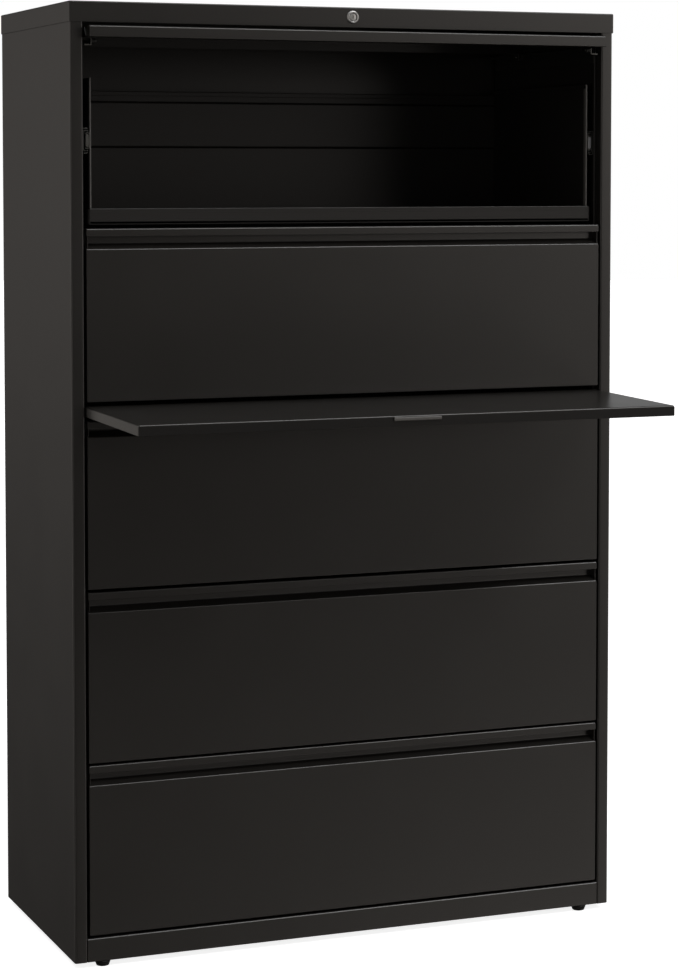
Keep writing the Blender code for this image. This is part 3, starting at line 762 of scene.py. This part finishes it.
def build_foot(name):
    """A moulded glide on a threaded stem, with its lock nut."""
    low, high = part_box(name)
    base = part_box("base_pan")[0].z
    centre = (low + high) / 2
    centre.z = 0
    pad_top = base - 2 * GAP
    build_glide(name, centre, high.x - centre.x, pad_top)

    profile = [(0, pad_top)]
    for turn in range(int((high.z - pad_top) / THREAD_PITCH)):
        profile.append((STEM_RADIUS * THREAD_ROOT, pad_top + THREAD_PITCH * turn))
        profile.append((STEM_RADIUS, pad_top + THREAD_PITCH * (turn + 0.5)))
    profile.append((0, high.z))
    bm = bmesh.new()
    add_turned(bm, profile, centre, (0, 0, 1), 20)
    seat = base + HEAVY_SHEET
    top = seat + NUT_HEIGHT
    add_turned(bm, [(0, seat), (NUT_RADIUS, seat), (NUT_RADIUS, top), (0, top)], centre, (0, 0, 1), 6)
    make_piece(bm, name + "_stem", "root", "zinc", width=0)


# ------------ slides


def build_slide_member(node, body):
    """One channel of a slide, with its edges curled round the balls."""
    low, high, outer, inner = side_box(node)
    opens_out = node.endswith("inner")
    web, tip = (inner, outer) if opens_out else (outer, inner)
    corners = [
        (tip, high.z - SLIDE_CURL, 0), (tip, high.z, SLIDE_TIP_BEND), (web, high.z, SLIDE_WEB_BEND),
        (web, low.z, SLIDE_WEB_BEND), (tip, low.z, SLIDE_TIP_BEND), (tip, low.z + SLIDE_CURL, 0),
    ]
    bm = bmesh.new()
    add_folded(bm, corners, math.copysign(SLIDE_STEEL, tip - web), along_y, low.y, high.y)
    make_piece(bm, node + "_rail", body, "zinc", node)


def build_balls(prefix, body):
    """The two ball rows on each side of the middle member, in their cages."""
    low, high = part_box(prefix + "_slide_middle")
    centre = (low + high) / 2
    half = Vector((CAGE_HALF_WIDTH, 0, CAGE_HALF_HEIGHT))
    bm = bmesh.new()
    for rise in (OUTER_RACE, -OUTER_RACE, INNER_RACE, -INNER_RACE):
        start = Vector((centre.x, low.y + BALL_PITCH, centre.z + rise))
        for ball in range(BALL_COUNT):
            place = Matrix.Translation(start + Vector((0, (ball + 1) * BALL_PITCH, 0)))
            bmesh.ops.create_icosphere(bm, subdivisions=2, radius=BALL_RADIUS, matrix=place)
        end = start + Vector((0, (BALL_COUNT + 1) * BALL_PITCH, 0))
        add_box(bm, start - half, end + half)
    make_piece(bm, prefix + "_balls", body, "balls", width=0)


def build_bumper(prefix, body):
    """The stop in the inner member's front end: pale nylon on the right, as a painted highlight on the lit
    side, and plated steel on the left.
    """
    low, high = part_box(prefix + "_slide_inner")
    centre = (low + high) / 2
    half = Vector((BUMPER_HALF_WIDTH, 0, BUMPER_HALF_HEIGHT))
    start, end = centre - half, centre + half
    outline = rectangle(start.x, start.z, end.x, end.z, BUMPER_CORNER, BUMPER_CORNER)
    bm = bmesh.new()
    add_prism(bm, outline, along_y, low.y + GAP, low.y + BUMPER_LENGTH, 0.8 * MM)
    # Only the right bumper is pale, as a painted highlight
    make_piece(bm, prefix + "_bumper", body, "nylon" if centre.x > 0 else "zinc", width=0)


def build_slides(prefix, moving, middles):
    for side in SIDES:
        name = prefix + "_" + side
        for member, body in (("outer", "root"), ("middle", middles), ("inner", moving)):
            build_slide_member(f"{name}_slide_{member}", body)
        build_balls(name, middles)
        build_bumper(name, moving)


# ------------ drawer bodies and tray


def add_side_hems(bm, half, top, front, back):
    """Rolled hems along the top of both side walls."""
    for sign in SIDES.values():
        outer = sign * (half + HEM_PROUD)
        hem = rectangle(outer, top - HEM_HEIGHT, outer - sign * HEM_WIDTH, top, HEM_FOOT_ROUND, HEM_ROUND)
        add_prism(bm, hem, along_y, front, back, HEM_END_ROUND)


def add_cross_hem(bm, half, wall, inward, top):
    """A rolled hem along the top of a front or back wall. inward is +1 where the inside is towards +Y."""
    outer = wall - inward * HEM_PROUD
    hem = rectangle(outer, top - HEM_HEIGHT, outer + inward * HEM_WIDTH, top, HEM_FOOT_ROUND, HEM_ROUND)
    add_prism(bm, hem, along_x, -half, half, HEM_END_ROUND)


def add_floor_ribs(bm, low, high):
    """Stiffening ribs pressed up in a floor, from side to side."""
    floor = low.z + SHEET / 2
    for share in RIB_PLACES:
        y = low.y + (high.y - low.y) * share
        corners = [
            (y - RIB_HALF, floor, 0), (y - RIB_HALF / 2, floor + RIB_RISE, RIB_BEND),
            (y + RIB_HALF / 2, floor + RIB_RISE, RIB_BEND), (y + RIB_HALF, floor, 0),
        ]
        add_prism(bm, corners, along_x, low.x * RIB_REACH, high.x * RIB_REACH, 0.6 * MM)


def build_hanger_bars(drawer, low, high):
    """The bars that file hangers ride on, from the front wall to the back, with a foot at each end."""
    front, back = low.y + HEM_WIDTH + GAP, high.y - HEM_WIDTH - GAP
    top = high.z - BAR_DROP
    bottom = top - BAR_DEPTH
    bm = bmesh.new()
    for share in BAR_PLACES:
        x = share * high.x
        bar = rectangle(x - BAR_WIDTH / 2, bottom, x + BAR_WIDTH / 2, top, 0.8 * MM, 1.2 * MM)
        add_prism(bm, bar, along_y, front, back)
        for wall, inward in ((front, 1), (back, -1)):
            near = (x - BAR_FOOT_HALF, wall, bottom - BAR_FOOT_THICKNESS)
            add_box(bm, near, (x + BAR_FOOT_HALF, wall + inward * BAR_FOOT_DEPTH, bottom))
    make_piece(bm, drawer + "_hanger_bars", drawer, "zinc", width=0.3 * MM)


def build_drawer_body(drawer):
    low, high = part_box(drawer + "_box")
    bm = bmesh.new()
    add_pan(bm, low, high - Vector((0, 0, HEM_LAP)), [(0, 0, 1)], TIGHT_BEND, SHEET, segments=4)
    add_side_hems(bm, high.x, high.z, low.y + HEM_INSET, high.y - HEM_INSET)
    add_cross_hem(bm, high.x - HEM_INSET, low.y, 1, high.z)
    add_cross_hem(bm, high.x - HEM_INSET, high.y, -1, high.z)
    add_floor_ribs(bm, low, high)
    make_piece(bm, drawer + "_tub", drawer, "inner", drawer + "_box")
    build_hanger_bars(drawer, low, high)


def add_tray_lip(bm, low, high, lip_top):
    """The tray's front: a lip that wraps round its corners, a hem on it and a sole under it."""
    half = high.x + TRAY_LIP_SPREAD
    back = low.y + TRAY_LIP_DEPTH
    wrap = [
        (low.x, back, 0), (-half, back, TIGHT_BEND), (-half, low.y, TRAY_CORNER),
        (half, low.y, TRAY_CORNER), (half, back, TIGHT_BEND), (high.x, back, 0),
    ]
    add_folded(bm, wrap, SHEET, along_z, low.z + TIGHT_BEND, lip_top - HEM_LAP)
    add_cross_hem(bm, half - TRAY_CORNER, low.y, 1, lip_top)
    sole = [
        (low.y, low.z + TRAY_SOLE_RISE, 0), (low.y, low.z, TRAY_BEND),
        (low.y + TRAY_SOLE_DEPTH, low.z, 0),
    ]
    add_folded(bm, sole, SHEET, along_x, TRAY_CORNER - half, half - TRAY_CORNER)


def add_tray_back(bm, low, high):
    """The tray's back wall, which steps in between two folds."""
    first, second = (low.z + jog for jog in TRAY_JOGS)
    step = TRAY_JOG_DEPTH
    top = high.z - TRAY_BACK_DROP
    wall = [
        (high.y, low.z, 0), (high.y, first, 3 * MM), (high.y - step, first + step, 3 * MM),
        (high.y - step, second, 3 * MM), (high.y, second + step, 3 * MM), (high.y, top - HEM_LAP, 0),
    ]
    add_folded(bm, wall, SHEET, along_x, low.x + SHEET, high.x - SHEET)
    add_cross_hem(bm, high.x - SHEET, high.y, -1, top)


def build_tray():
    """The roll-out tray: a trough with a low front lip, a stepped back wall, and rims made pale as a painted
    highlight.
    """
    low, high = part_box("rollout_tray")
    front = low.y + TRAY_CORNER
    rim = high.z - HEM_LAP
    lip_top = low.z + TRAY_LIP_HEIGHT
    trough = [
        (low.x, rim, 0), (low.x, low.z, TRAY_BEND), (high.x, low.z, TRAY_BEND), (high.x, rim, 0),
    ]
    bm = bmesh.new()
    add_folded(bm, trough, SHEET, along_y, front, high.y)
    add_tray_lip(bm, low, high, lip_top)
    add_tray_back(bm, low, high)
    add_side_hems(bm, high.x, high.z, front, high.y)
    add_floor_ribs(bm, low, high)
    make_piece(bm, "tray_body", "rollout_tray", "inner", "rollout_tray")

    # Pale rims down the tray's front corners: a painted highlight
    for side, sign in SIDES.items():
        outer = sign * (high.x + HEM_PROUD)
        inner = outer - sign * HEM_WIDTH
        edge = rectangle(outer, front - RIM_LEAD, inner, front + HEM_HEIGHT, RIM_ROUND, RIM_ROUND)
        bm = bmesh.new()
        add_prism(bm, edge, along_z, lip_top - RIM_OVERLAP, high.z - 0.5 * MM, 0.5 * MM)
        make_piece(bm, side + "_tray_rim", "rollout_tray", "edge", width=0)


# ------------ drawer fronts and door


def front_section(height, depth, pull):
    """A front's section, from its lower edge up: flat face, finger recess and lip."""
    panel_top = height - pull
    lip_bottom = height - LIP_HEIGHT
    ceiling = height - LIP_THICKNESS
    return [
        (0, 0, PANEL_FOOT_ROUND), (0, panel_top, PANEL_ROUND),
        (PULL_DEPTH, panel_top + PULL_FLOOR_RISE, PULL_BEND), (PULL_DEPTH, ceiling, 2 * MM),
        (LIP_THICKNESS, ceiling, 0.8 * MM), (LIP_THICKNESS, lip_bottom, LIP_ROUND),
        (0, lip_bottom, LIP_ROUND), (0, height, PANEL_ROUND), (depth, height, 1.2 * MM),
        (depth, 0, 1.2 * MM),
    ]


def hollow_section(height, depth, pull):
    """The section of the room behind a front's sheet, open at its back."""
    ceiling = height - pull - 2 * SHEET
    return [
        (SHEET, SHEET, 1 * MM), (depth + OVERRUN, SHEET, 0),
        (depth + OVERRUN, ceiling + PULL_FLOOR_RISE, 0),
        (PULL_DEPTH, ceiling + PULL_FLOOR_RISE, 2 * MM), (SHEET, ceiling, 0.5 * MM),
    ]


def front_mesh(half_width, height, depth, place, pull=PULL_HEIGHT):
    """A hollow front with a full-width pull. Its own axes: face at y = 0, lower edge at z = 0."""
    bm = bmesh.new()
    section = front_section(height, depth, pull)
    add_prism(bm, section, along_x, -half_width, half_width, PANEL_END_ROUND)
    hollow = bmesh.new()
    add_prism(hollow, hollow_section(height, depth, pull), along_x, SHEET - half_width, half_width - SHEET)
    bm = cut(bm, hollow)
    for sign in SIDES.values():
        outer = sign * (half_width - END_PLATE_INSET)
        low = (outer, END_PLATE_MARGIN, height - pull + END_PLATE_MARGIN)
        add_box(bm, low, (outer - sign * SHEET, PULL_DEPTH + SHEET, height - LIP_THICKNESS + SHEET))
    bm.transform(place)
    return bm


def build_drawer_face(drawer):
    node = drawer + "_front"
    low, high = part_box(node)
    place = Matrix.Translation((0, low.y, low.z))
    pull = SHORT_PULL_HEIGHT if drawer == "drawer_2" else PULL_HEIGHT
    face = front_mesh(high.x, high.z - low.z, high.y - low.y, place, pull)
    make_piece(face, drawer + "_face", drawer, "front", node)


def build_door_face():
    """The door lies outer face up, with its pull to the front."""
    low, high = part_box("door_panel")
    lying = Matrix.Rotation(math.pi, 4, "Y") @ Matrix.Rotation(math.pi / 2, 4, "X")
    place = Matrix.Translation((0, high.y, high.z)) @ lying
    face = front_mesh(high.x, high.y - low.y, high.z - low.z, place)
    make_piece(face, "door_face", "door", "front", "door_panel")


def add_roller(bm, start, sign):
    """A nylon wheel with a groove, from its inner face outwards along X."""
    shares = [(0.9, 0), (1, 0.12), (1, 0.38), (0.86, 0.5), (1, 0.62), (1, 0.88), (0.9, 1)]
    profile = [(ROLLER_RADIUS * out, ROLLER_WIDTH * along) for out, along in shares]
    add_turned(bm, [(0, 0), *profile, (0, ROLLER_WIDTH)], start, (sign, 0, 0), 28)


def build_door_track(side, sign):
    """The channel over the door that its rear roller runs in."""
    node = side + "_door_track"
    low, high, leg, tip = side_box(node)
    corners = [
        (leg, low.z, 0), (leg, high.z, TRACK_BEND), (tip, high.z, TRACK_BEND),
        (tip, high.z - TRACK_LIP, 0),
    ]
    bm = bmesh.new()
    add_folded(bm, corners, sign * HEAVY_SHEET, along_y, low.y, high.y)
    make_piece(bm, side + "_door_channel", "root", "zinc", node)


def build_door_guide(side, sign):
    """The fixed roller under the door's front part, and its bracket."""
    low, _, leg, tip = side_box(side + "_door_track")
    axle_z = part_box("door_panel")[0].z - GAP - ROLLER_RADIUS
    axle = Vector((tip + sign * ROLLER_STANDOFF, low.y - GUIDE_REACH, axle_z))
    bm = bmesh.new()
    add_roller(bm, axle, sign)
    make_piece(bm, side + "_door_guide_roller", "root", "plastic", width=0)

    inner = leg - sign * BRACKET_WIDTH
    bottom = axle.z - BRACKET_DROP
    bm = bmesh.new()
    add_box(bm, (leg, axle.y - BRACKET_HALF, bottom), (inner, axle.y + BRACKET_HALF, bottom + BRACKET_STEEL))
    foot = (inner, axle.y - UPRIGHT_HALF, bottom + BRACKET_STEEL / 2)
    add_box(bm, foot, (inner + sign * BRACKET_STEEL, axle.y + UPRIGHT_HALF, axle.z + UPRIGHT_TOP))
    add_screw(bm, axle - Vector((sign * 0.5 * MM, 0, 0)), (-sign, 0, 0), AXLE_SCREW_RADIUS)
    make_piece(bm, side + "_door_guide_bracket", "root", "zinc")


def build_door_hinge(side, sign):
    """The door's rear roller, on the hinge plate that is fixed under the door."""
    door_low, door_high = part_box("door_panel")
    _, high, _, tip = side_box(side + "_door_track")
    y = door_high.y - HINGE_INSET
    z = high.z - HEAVY_SHEET - GAP - ROLLER_RADIUS
    roller_x = tip + sign * ROLLER_STANDOFF
    bm = bmesh.new()
    add_roller(bm, (roller_x, y, z), sign)
    make_piece(bm, side + "_door_roller", "door", "plastic", width=0)

    outer = tip - sign * HINGE_STANDOFF
    plate = [
        (outer, z - HINGE_DROP, 0), (outer, door_low.z, TIGHT_BEND),
        (outer - sign * HINGE_LEG, door_low.z, 0),
    ]
    bm = bmesh.new()
    add_folded(bm, plate, sign * HEAVY_SHEET, along_y, y - HINGE_HALF, y + HINGE_HALF)
    add_screw(bm, (outer - sign * HEAVY_SHEET, y, z), (-sign, 0, 0), HINGE_SCREW_RADIUS)
    add_box(bm, (outer, y - PIN_HALF, z - PIN_HALF), (roller_x, y + PIN_HALF, z + PIN_HALF))
    make_piece(bm, side + "_door_hinge_plate", "door", "zinc")


# ------------ posting shelf


def shelf_place():
    """The shelf's tilted axes, whose origin is on its top at the case's front plane."""
    joint = next(j for j in frame["joints"] if j["child"] == "posting_shelf")
    axis = Vector(joint["axis"])
    droop = math.atan2(-axis.z, -axis.y)
    case_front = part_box("top_cap")[0].y
    return Matrix.Translation((0, case_front, SHELF_TOP)) @ Matrix.Rotation(droop, 4, "X")


def make_tilted(bm, name, body, finish, *stands_for, width=EDGE_ROUND):
    """A piece that is modelled in the shelf's axes."""
    bm.transform(shelf_place())
    make_piece(bm, name, body, finish, *stands_for, width=width)


def add_stiffeners(bm):
    """Hat sections under the shelf's top, from side to side."""
    for share in STIFFENER_PLACES:
        y = SHELF_FRONT + (SHELF_REAR - SHELF_FRONT) * share
        hat = [
            (y - STIFFENER_FOOT, -SHEET, 0), (y - STIFFENER_SHOULDER, -SHEET, TIGHT_BEND),
            (y - STIFFENER_CROWN, -STIFFENER_DEPTH, TIGHT_BEND),
            (y + STIFFENER_CROWN, -STIFFENER_DEPTH, TIGHT_BEND),
            (y + STIFFENER_SHOULDER, -SHEET, TIGHT_BEND), (y + STIFFENER_FOOT, -SHEET, 0),
        ]
        add_folded(bm, hat, -SHEET, along_x, -STIFFENER_HALF, STIFFENER_HALF)


def build_shelf_pan():
    """The shelf's top with its three turned-down edges, their returns and the stiffeners."""
    half = SHELF_HALF
    under = -SHELF_THICKNESS
    bm = bmesh.new()
    low, high = (-half, SHELF_FRONT, under), (half, SHELF_REAR, 0)
    add_pan(bm, low, high, [(0, 0, -1), (0, 1, 0)], SHELF_BEND, SHEET)
    for sign in SIDES.values():
        inner = sign * (half - SHELF_RETURN)
        add_box(bm, (sign * half, SHELF_FRONT + SHEET, under), (inner, SHELF_REAR, under + SHEET))
    front_return = (half - SHEET, SHELF_FRONT + SHELF_RETURN, under + SHEET)
    add_box(bm, (SHEET - half, SHELF_FRONT, under), front_return)
    add_stiffeners(bm)
    make_tilted(bm, "shelf_pan", "posting_shelf", "case", "posting_shelf")


def build_shelf_strips():
    """Thin strips over the shelf's edges: pale ones with a tab at its sides, as painted light, and a dark
    one at its front, as painted shade.
    """
    bottom = STRIP_MARGIN - SHELF_THICKNESS
    for side, sign in SIDES.items():
        skin = sign * (SHELF_HALF - SHEET / 2)
        low = (skin, SHELF_FRONT + TAB_LENGTH + STRIP_MARGIN, bottom)
        bm = bmesh.new()
        add_box(bm, low, (sign * (SHELF_HALF + STRIP_PROUD), SHELF_REAR - 1 * MM, -SHELF_BEND))
        tab_low = (skin, SHELF_FRONT + SHELF_BEND * 0.6, bottom)
        add_box(bm, tab_low, (sign * (SHELF_HALF + TAB_PROUD), SHELF_FRONT + TAB_LENGTH, -SHELF_BEND * 0.7))
        make_tilted(bm, side + "_shelf_edge", "posting_shelf", "edge", width=FINE_ROUND)

    # The dark strip over the shelf's front face is painted shade
    half = SHELF_HALF - STRIP_PROUD
    bm = bmesh.new()
    add_box(bm, (-half, SHELF_FRONT - STRIP_PROUD, bottom), (half, SHELF_FRONT + SHEET / 2, -SHELF_BEND))
    make_tilted(bm, "front_shelf_edge", "posting_shelf", "painted_shade", width=FINE_ROUND)


def build_shelf_pull():
    """The small finger pull under the shelf's front edge."""
    bottom = PULL_TOP - PULL_BAR_HEIGHT
    bar = [
        (SHELF_FRONT + SHEET / 2, bottom, 0), (SHELF_FRONT + SHEET / 2, PULL_TOP, 0),
        (-PULL_REACH, PULL_TOP, PULL_BAR_ROUND), (-PULL_REACH, bottom, PULL_BAR_ROUND),
    ]
    bm = bmesh.new()
    add_prism(bm, bar, along_x, -PULL_HALF, PULL_HALF, 1.2 * MM)
    make_tilted(bm, "shelf_finger_pull", "posting_shelf", "edge", width=0)


def build_shelf_rails():
    """The fixed runners, which reach in under the shelf's edges and up to its top."""
    sill = -SHELF_THICKNESS - 2 * GAP
    for side, sign in SIDES.items():
        runner = [
            (sign * RUNNER_LEG_X, sill - RUNNER_LEG, 0), (sign * RUNNER_LEG_X, sill, TIGHT_BEND),
            (sign * RUNNER_WEB_X, sill, TIGHT_BEND), (sign * RUNNER_WEB_X, -SHEET - GAP, TIGHT_BEND),
            (sign * RUNNER_TIP_X, -SHEET - GAP, 0),
        ]
        bm = bmesh.new()
        add_folded(bm, runner, sign * SHEET, along_y, RUNNER_FRONT, RUNNER_REAR)
        make_tilted(bm, side + "_shelf_rail", "root", "zinc", side + "_shelf_runner")


# ------------ lock


def lock_origin():
    """The point on the lock's axis in the cap's front plane."""
    low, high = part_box("lock_housing")
    return Vector((0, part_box("top_cap")[0].y, (low.z + high.z) / 2))


def build_lock_rim():
    """A chrome housing with a domed rim."""
    low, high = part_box("lock_housing")
    origin = lock_origin()
    radius = (high.x - low.x) / 2
    rim = origin.y - low.y
    back = origin.y - high.y
    barrel = LOCK_HOLE_RADIUS - BARREL_GAP
    shares = [(1, 0.3), (0.97, 0.58), (0.91, 0.8), (0.84, 0.94), (0.76, 1), (0.69, 0.97), (0.66, 0.85)]
    dome = [(radius * out, rim * up) for out, up in shares]
    shank = [(BORE_RADIUS, back), (barrel, back), (barrel, GAP), (radius, GAP)]
    bm = bmesh.new()
    add_turned(bm, shank + dome + [(BORE_RADIUS, rim * 0.4), (BORE_RADIUS, back)], origin, (0, -1, 0), 64)
    make_piece(bm, "lock_rim", "root", "chrome", "lock_housing", width=0)


def build_lock_plug():
    """The turning plug with its keyway, and the cam behind it."""
    low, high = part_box("lock_plug")
    origin = lock_origin()
    face = origin.y - low.y
    back = origin.y - high.y + CAM_STEEL
    profile = [
        (0, face), (PLUG_RADIUS * 0.90, face), (PLUG_RADIUS, face - PLUG_CHAMFER),
        (PLUG_RADIUS, back), (0, back),
    ]
    bm = bmesh.new()
    add_turned(bm, profile, origin, (0, -1, 0), 48)
    keyway = bmesh.new()
    reach = Vector((KEYWAY_WIDTH / 2, KEYWAY_DEPTH, KEYWAY_HEIGHT / 2))
    mouth = Vector((0, low.y, origin.z))
    add_box(keyway, mouth - reach, mouth + reach)
    bm = cut(bm, keyway)
    top_half = min(PLUG_RADIUS, (high.x - low.x) / 2)
    end_half = min(CAM_HALF, (high.x - low.x) / 2)
    cam = [
        (-top_half, origin.z + CAM_HALF, CAM_ROUND), (-end_half, low.z, CAM_ROUND),
        (end_half, low.z, CAM_ROUND), (top_half, origin.z + CAM_HALF, CAM_ROUND),
    ]
    add_prism(bm, cam, along_y, high.y - CAM_STEEL, high.y)
    make_piece(bm, "lock_core", "lock_plug", "plug", "lock_plug", width=0.15 * MM)


# ------------ stage


def build_floor():
    """A plain white sheet that casts no shadow and lights nothing."""
    bm = bmesh.new()
    bmesh.ops.create_circle(bm, cap_ends=True, segments=96, radius=FLOOR_RADIUS)
    floor = to_object(bm, "floor")
    material, _, shader = new_shader("floor_paper", 0.9)
    shader.inputs["Base Color"].default_value = (0.86, 0.86, 0.86, 1.0)
    shader.inputs["Emission Color"].default_value = COOL
    shader.inputs["Emission Strength"].default_value = FLOOR_GLOW
    floor.data.materials.append(material)
    floor.location.z = -FLOOR_DROP
    floor.visible_glossy = False
    floor.visible_diffuse = False
    floor.visible_shadow = False


# A glow is a soft bright area of the studio: its azimuth from the front towards the right, its elevation,
# its half width (all in degrees) and its strength.
WARM_GLOWS = {
    "right_front_high": (36, 9, 15, 1.40),
    "right_front_floor": (36, -20, 15, 0.17),
    "right_front_low": (34, -29, 14, 1.60),
    "right_front_far": (48, -4, 20, 0.75),
    "front_centre": (-8, 0, 14, 0.35),
    "left_front_low": (-45, -28, 16, 0.5),
    "front_left": (-68, 5, 32, 0.5),
    "left_rear": (-138, 0, 26, 0.685),
    "left_rear_high": (-164, 6, 15, 0.076),
}
COOL_GLOWS = {
    "key": (42, 50, 15, 6.0),
    "front_top": (22, 60, 38, 1.1),
    "left_top": (-120, 55, 35, 1.2),
    "right": (108, 0, 38, 1.0),
    "horizon": (155, 5, 20, 0.45),
}
WARM = (1.0, 0.93, 0.87, 1.0)
COOL = (1.0, 1.0, 1.0, 1.0)
AMBIENT = 0.010


def glowing(tree, direction, glows, colour):
    """A background whose strength is the ambient light and the sum of its glows."""
    total = None
    for name, (azimuth, elevation, half_width, strength) in glows.items():
        turn = Matrix.Rotation(math.radians(azimuth), 3, "Z")
        turn @= Matrix.Rotation(-math.radians(elevation), 3, "X")
        facing = new_node(tree, "VectorMath")
        facing.operation = "DOT_PRODUCT"
        facing.inputs[1].default_value = turn @ Vector((0.0, -1.0, 0.0))
        link(direction, facing.inputs[0])
        edge = math.cos(math.radians(half_width))
        glow = new_node(tree, "MapRange", From_Min=edge, From_Max=1.0, To_Max=strength)
        glow.name = name
        glow.interpolation_type = "SMOOTHSTEP"
        link(facing.outputs["Value"], glow.inputs["Value"])
        both = new_node(tree, "Math")
        both.operation = "ADD"
        both.inputs[1].default_value = AMBIENT
        link(glow.outputs["Result"], both.inputs[0])
        if total is not None:
            link(total, both.inputs[1])
        total = both.outputs["Value"]
    background = new_node(tree, "Background", Color=colour)
    link(total, background.inputs["Strength"])
    return background.outputs["Background"]


def build_world():
    """Soft light from all round, with a white backdrop for the camera only."""
    world = bpy.data.worlds.new("studio")
    bpy.context.scene.world = world
    world.use_nodes = True
    tree = world.node_tree
    tree.nodes.remove(tree.nodes["Background"])
    direction = new_node(tree, "TexCoord").outputs["Generated"]
    both = new_node(tree, "AddShader")
    link(glowing(tree, direction, WARM_GLOWS, WARM), both.inputs[0])
    link(glowing(tree, direction, COOL_GLOWS, COOL), both.inputs[1])
    backdrop = new_node(tree, "Background", Color=COOL)
    mix = new_node(tree, "MixShader")
    link(new_node(tree, "LightPath").outputs["Is Camera Ray"], mix.inputs["Fac"])
    link(both.outputs["Shader"], mix.inputs[1])
    link(backdrop.outputs["Background"], mix.inputs[2])
    link(mix.outputs["Shader"], tree.nodes["World Output"].inputs["Surface"])


def build_camera():
    """At eye height to the cabinet's left, looking almost level."""
    camera = bpy.data.cameras.new("camera")
    camera.lens = CAMERA_LENS
    camera.sensor_width = CAMERA_SENSOR
    camera.shift_y = CAMERA_SHIFT
    obj = bpy.data.objects.new("camera", camera)
    bpy.context.scene.collection.objects.link(obj)
    obj.location = CAMERA_PLACE
    obj.rotation_euler = (math.pi / 2 - CAMERA_PITCH, 0.0, -CAMERA_YAW)
    bpy.context.scene.camera = obj


# ------------ all of it


def build_cabinet():
    build_cap()
    build_back()
    build_base()
    for side, sign in SIDES.items():
        build_case_side(side, sign)
        build_rear_screws(side, sign)
        build_frame(side, sign)
        build_foot(f"front_{side}_foot")
        build_foot(f"rear_{side}_foot")
    for drawer in DRAWERS:
        build_drawer_face(drawer)
        build_drawer_body(drawer)
        build_slides(drawer, drawer, drawer + "_slide_middles")
    build_tray()
    build_slides("tray", "rollout_tray", "tray_slide_middles")
    build_door_face()
    for side, sign in SIDES.items():
        build_door_track(side, sign)
        build_door_guide(side, sign)
        build_door_hinge(side, sign)
    build_shelf_pan()
    build_shelf_strips()
    build_shelf_pull()
    build_shelf_rails()
    build_lock_rim()
    build_lock_plug()
    for node, finish in CARRIED.items():
        materials = frame["nodes"][node].data.materials
        materials.clear()
        materials.append(FINISHES[finish][0])


build_cabinet()
build_floor()
build_world()
build_camera()
bpy.context.scene.view_settings.view_transform = "Standard"
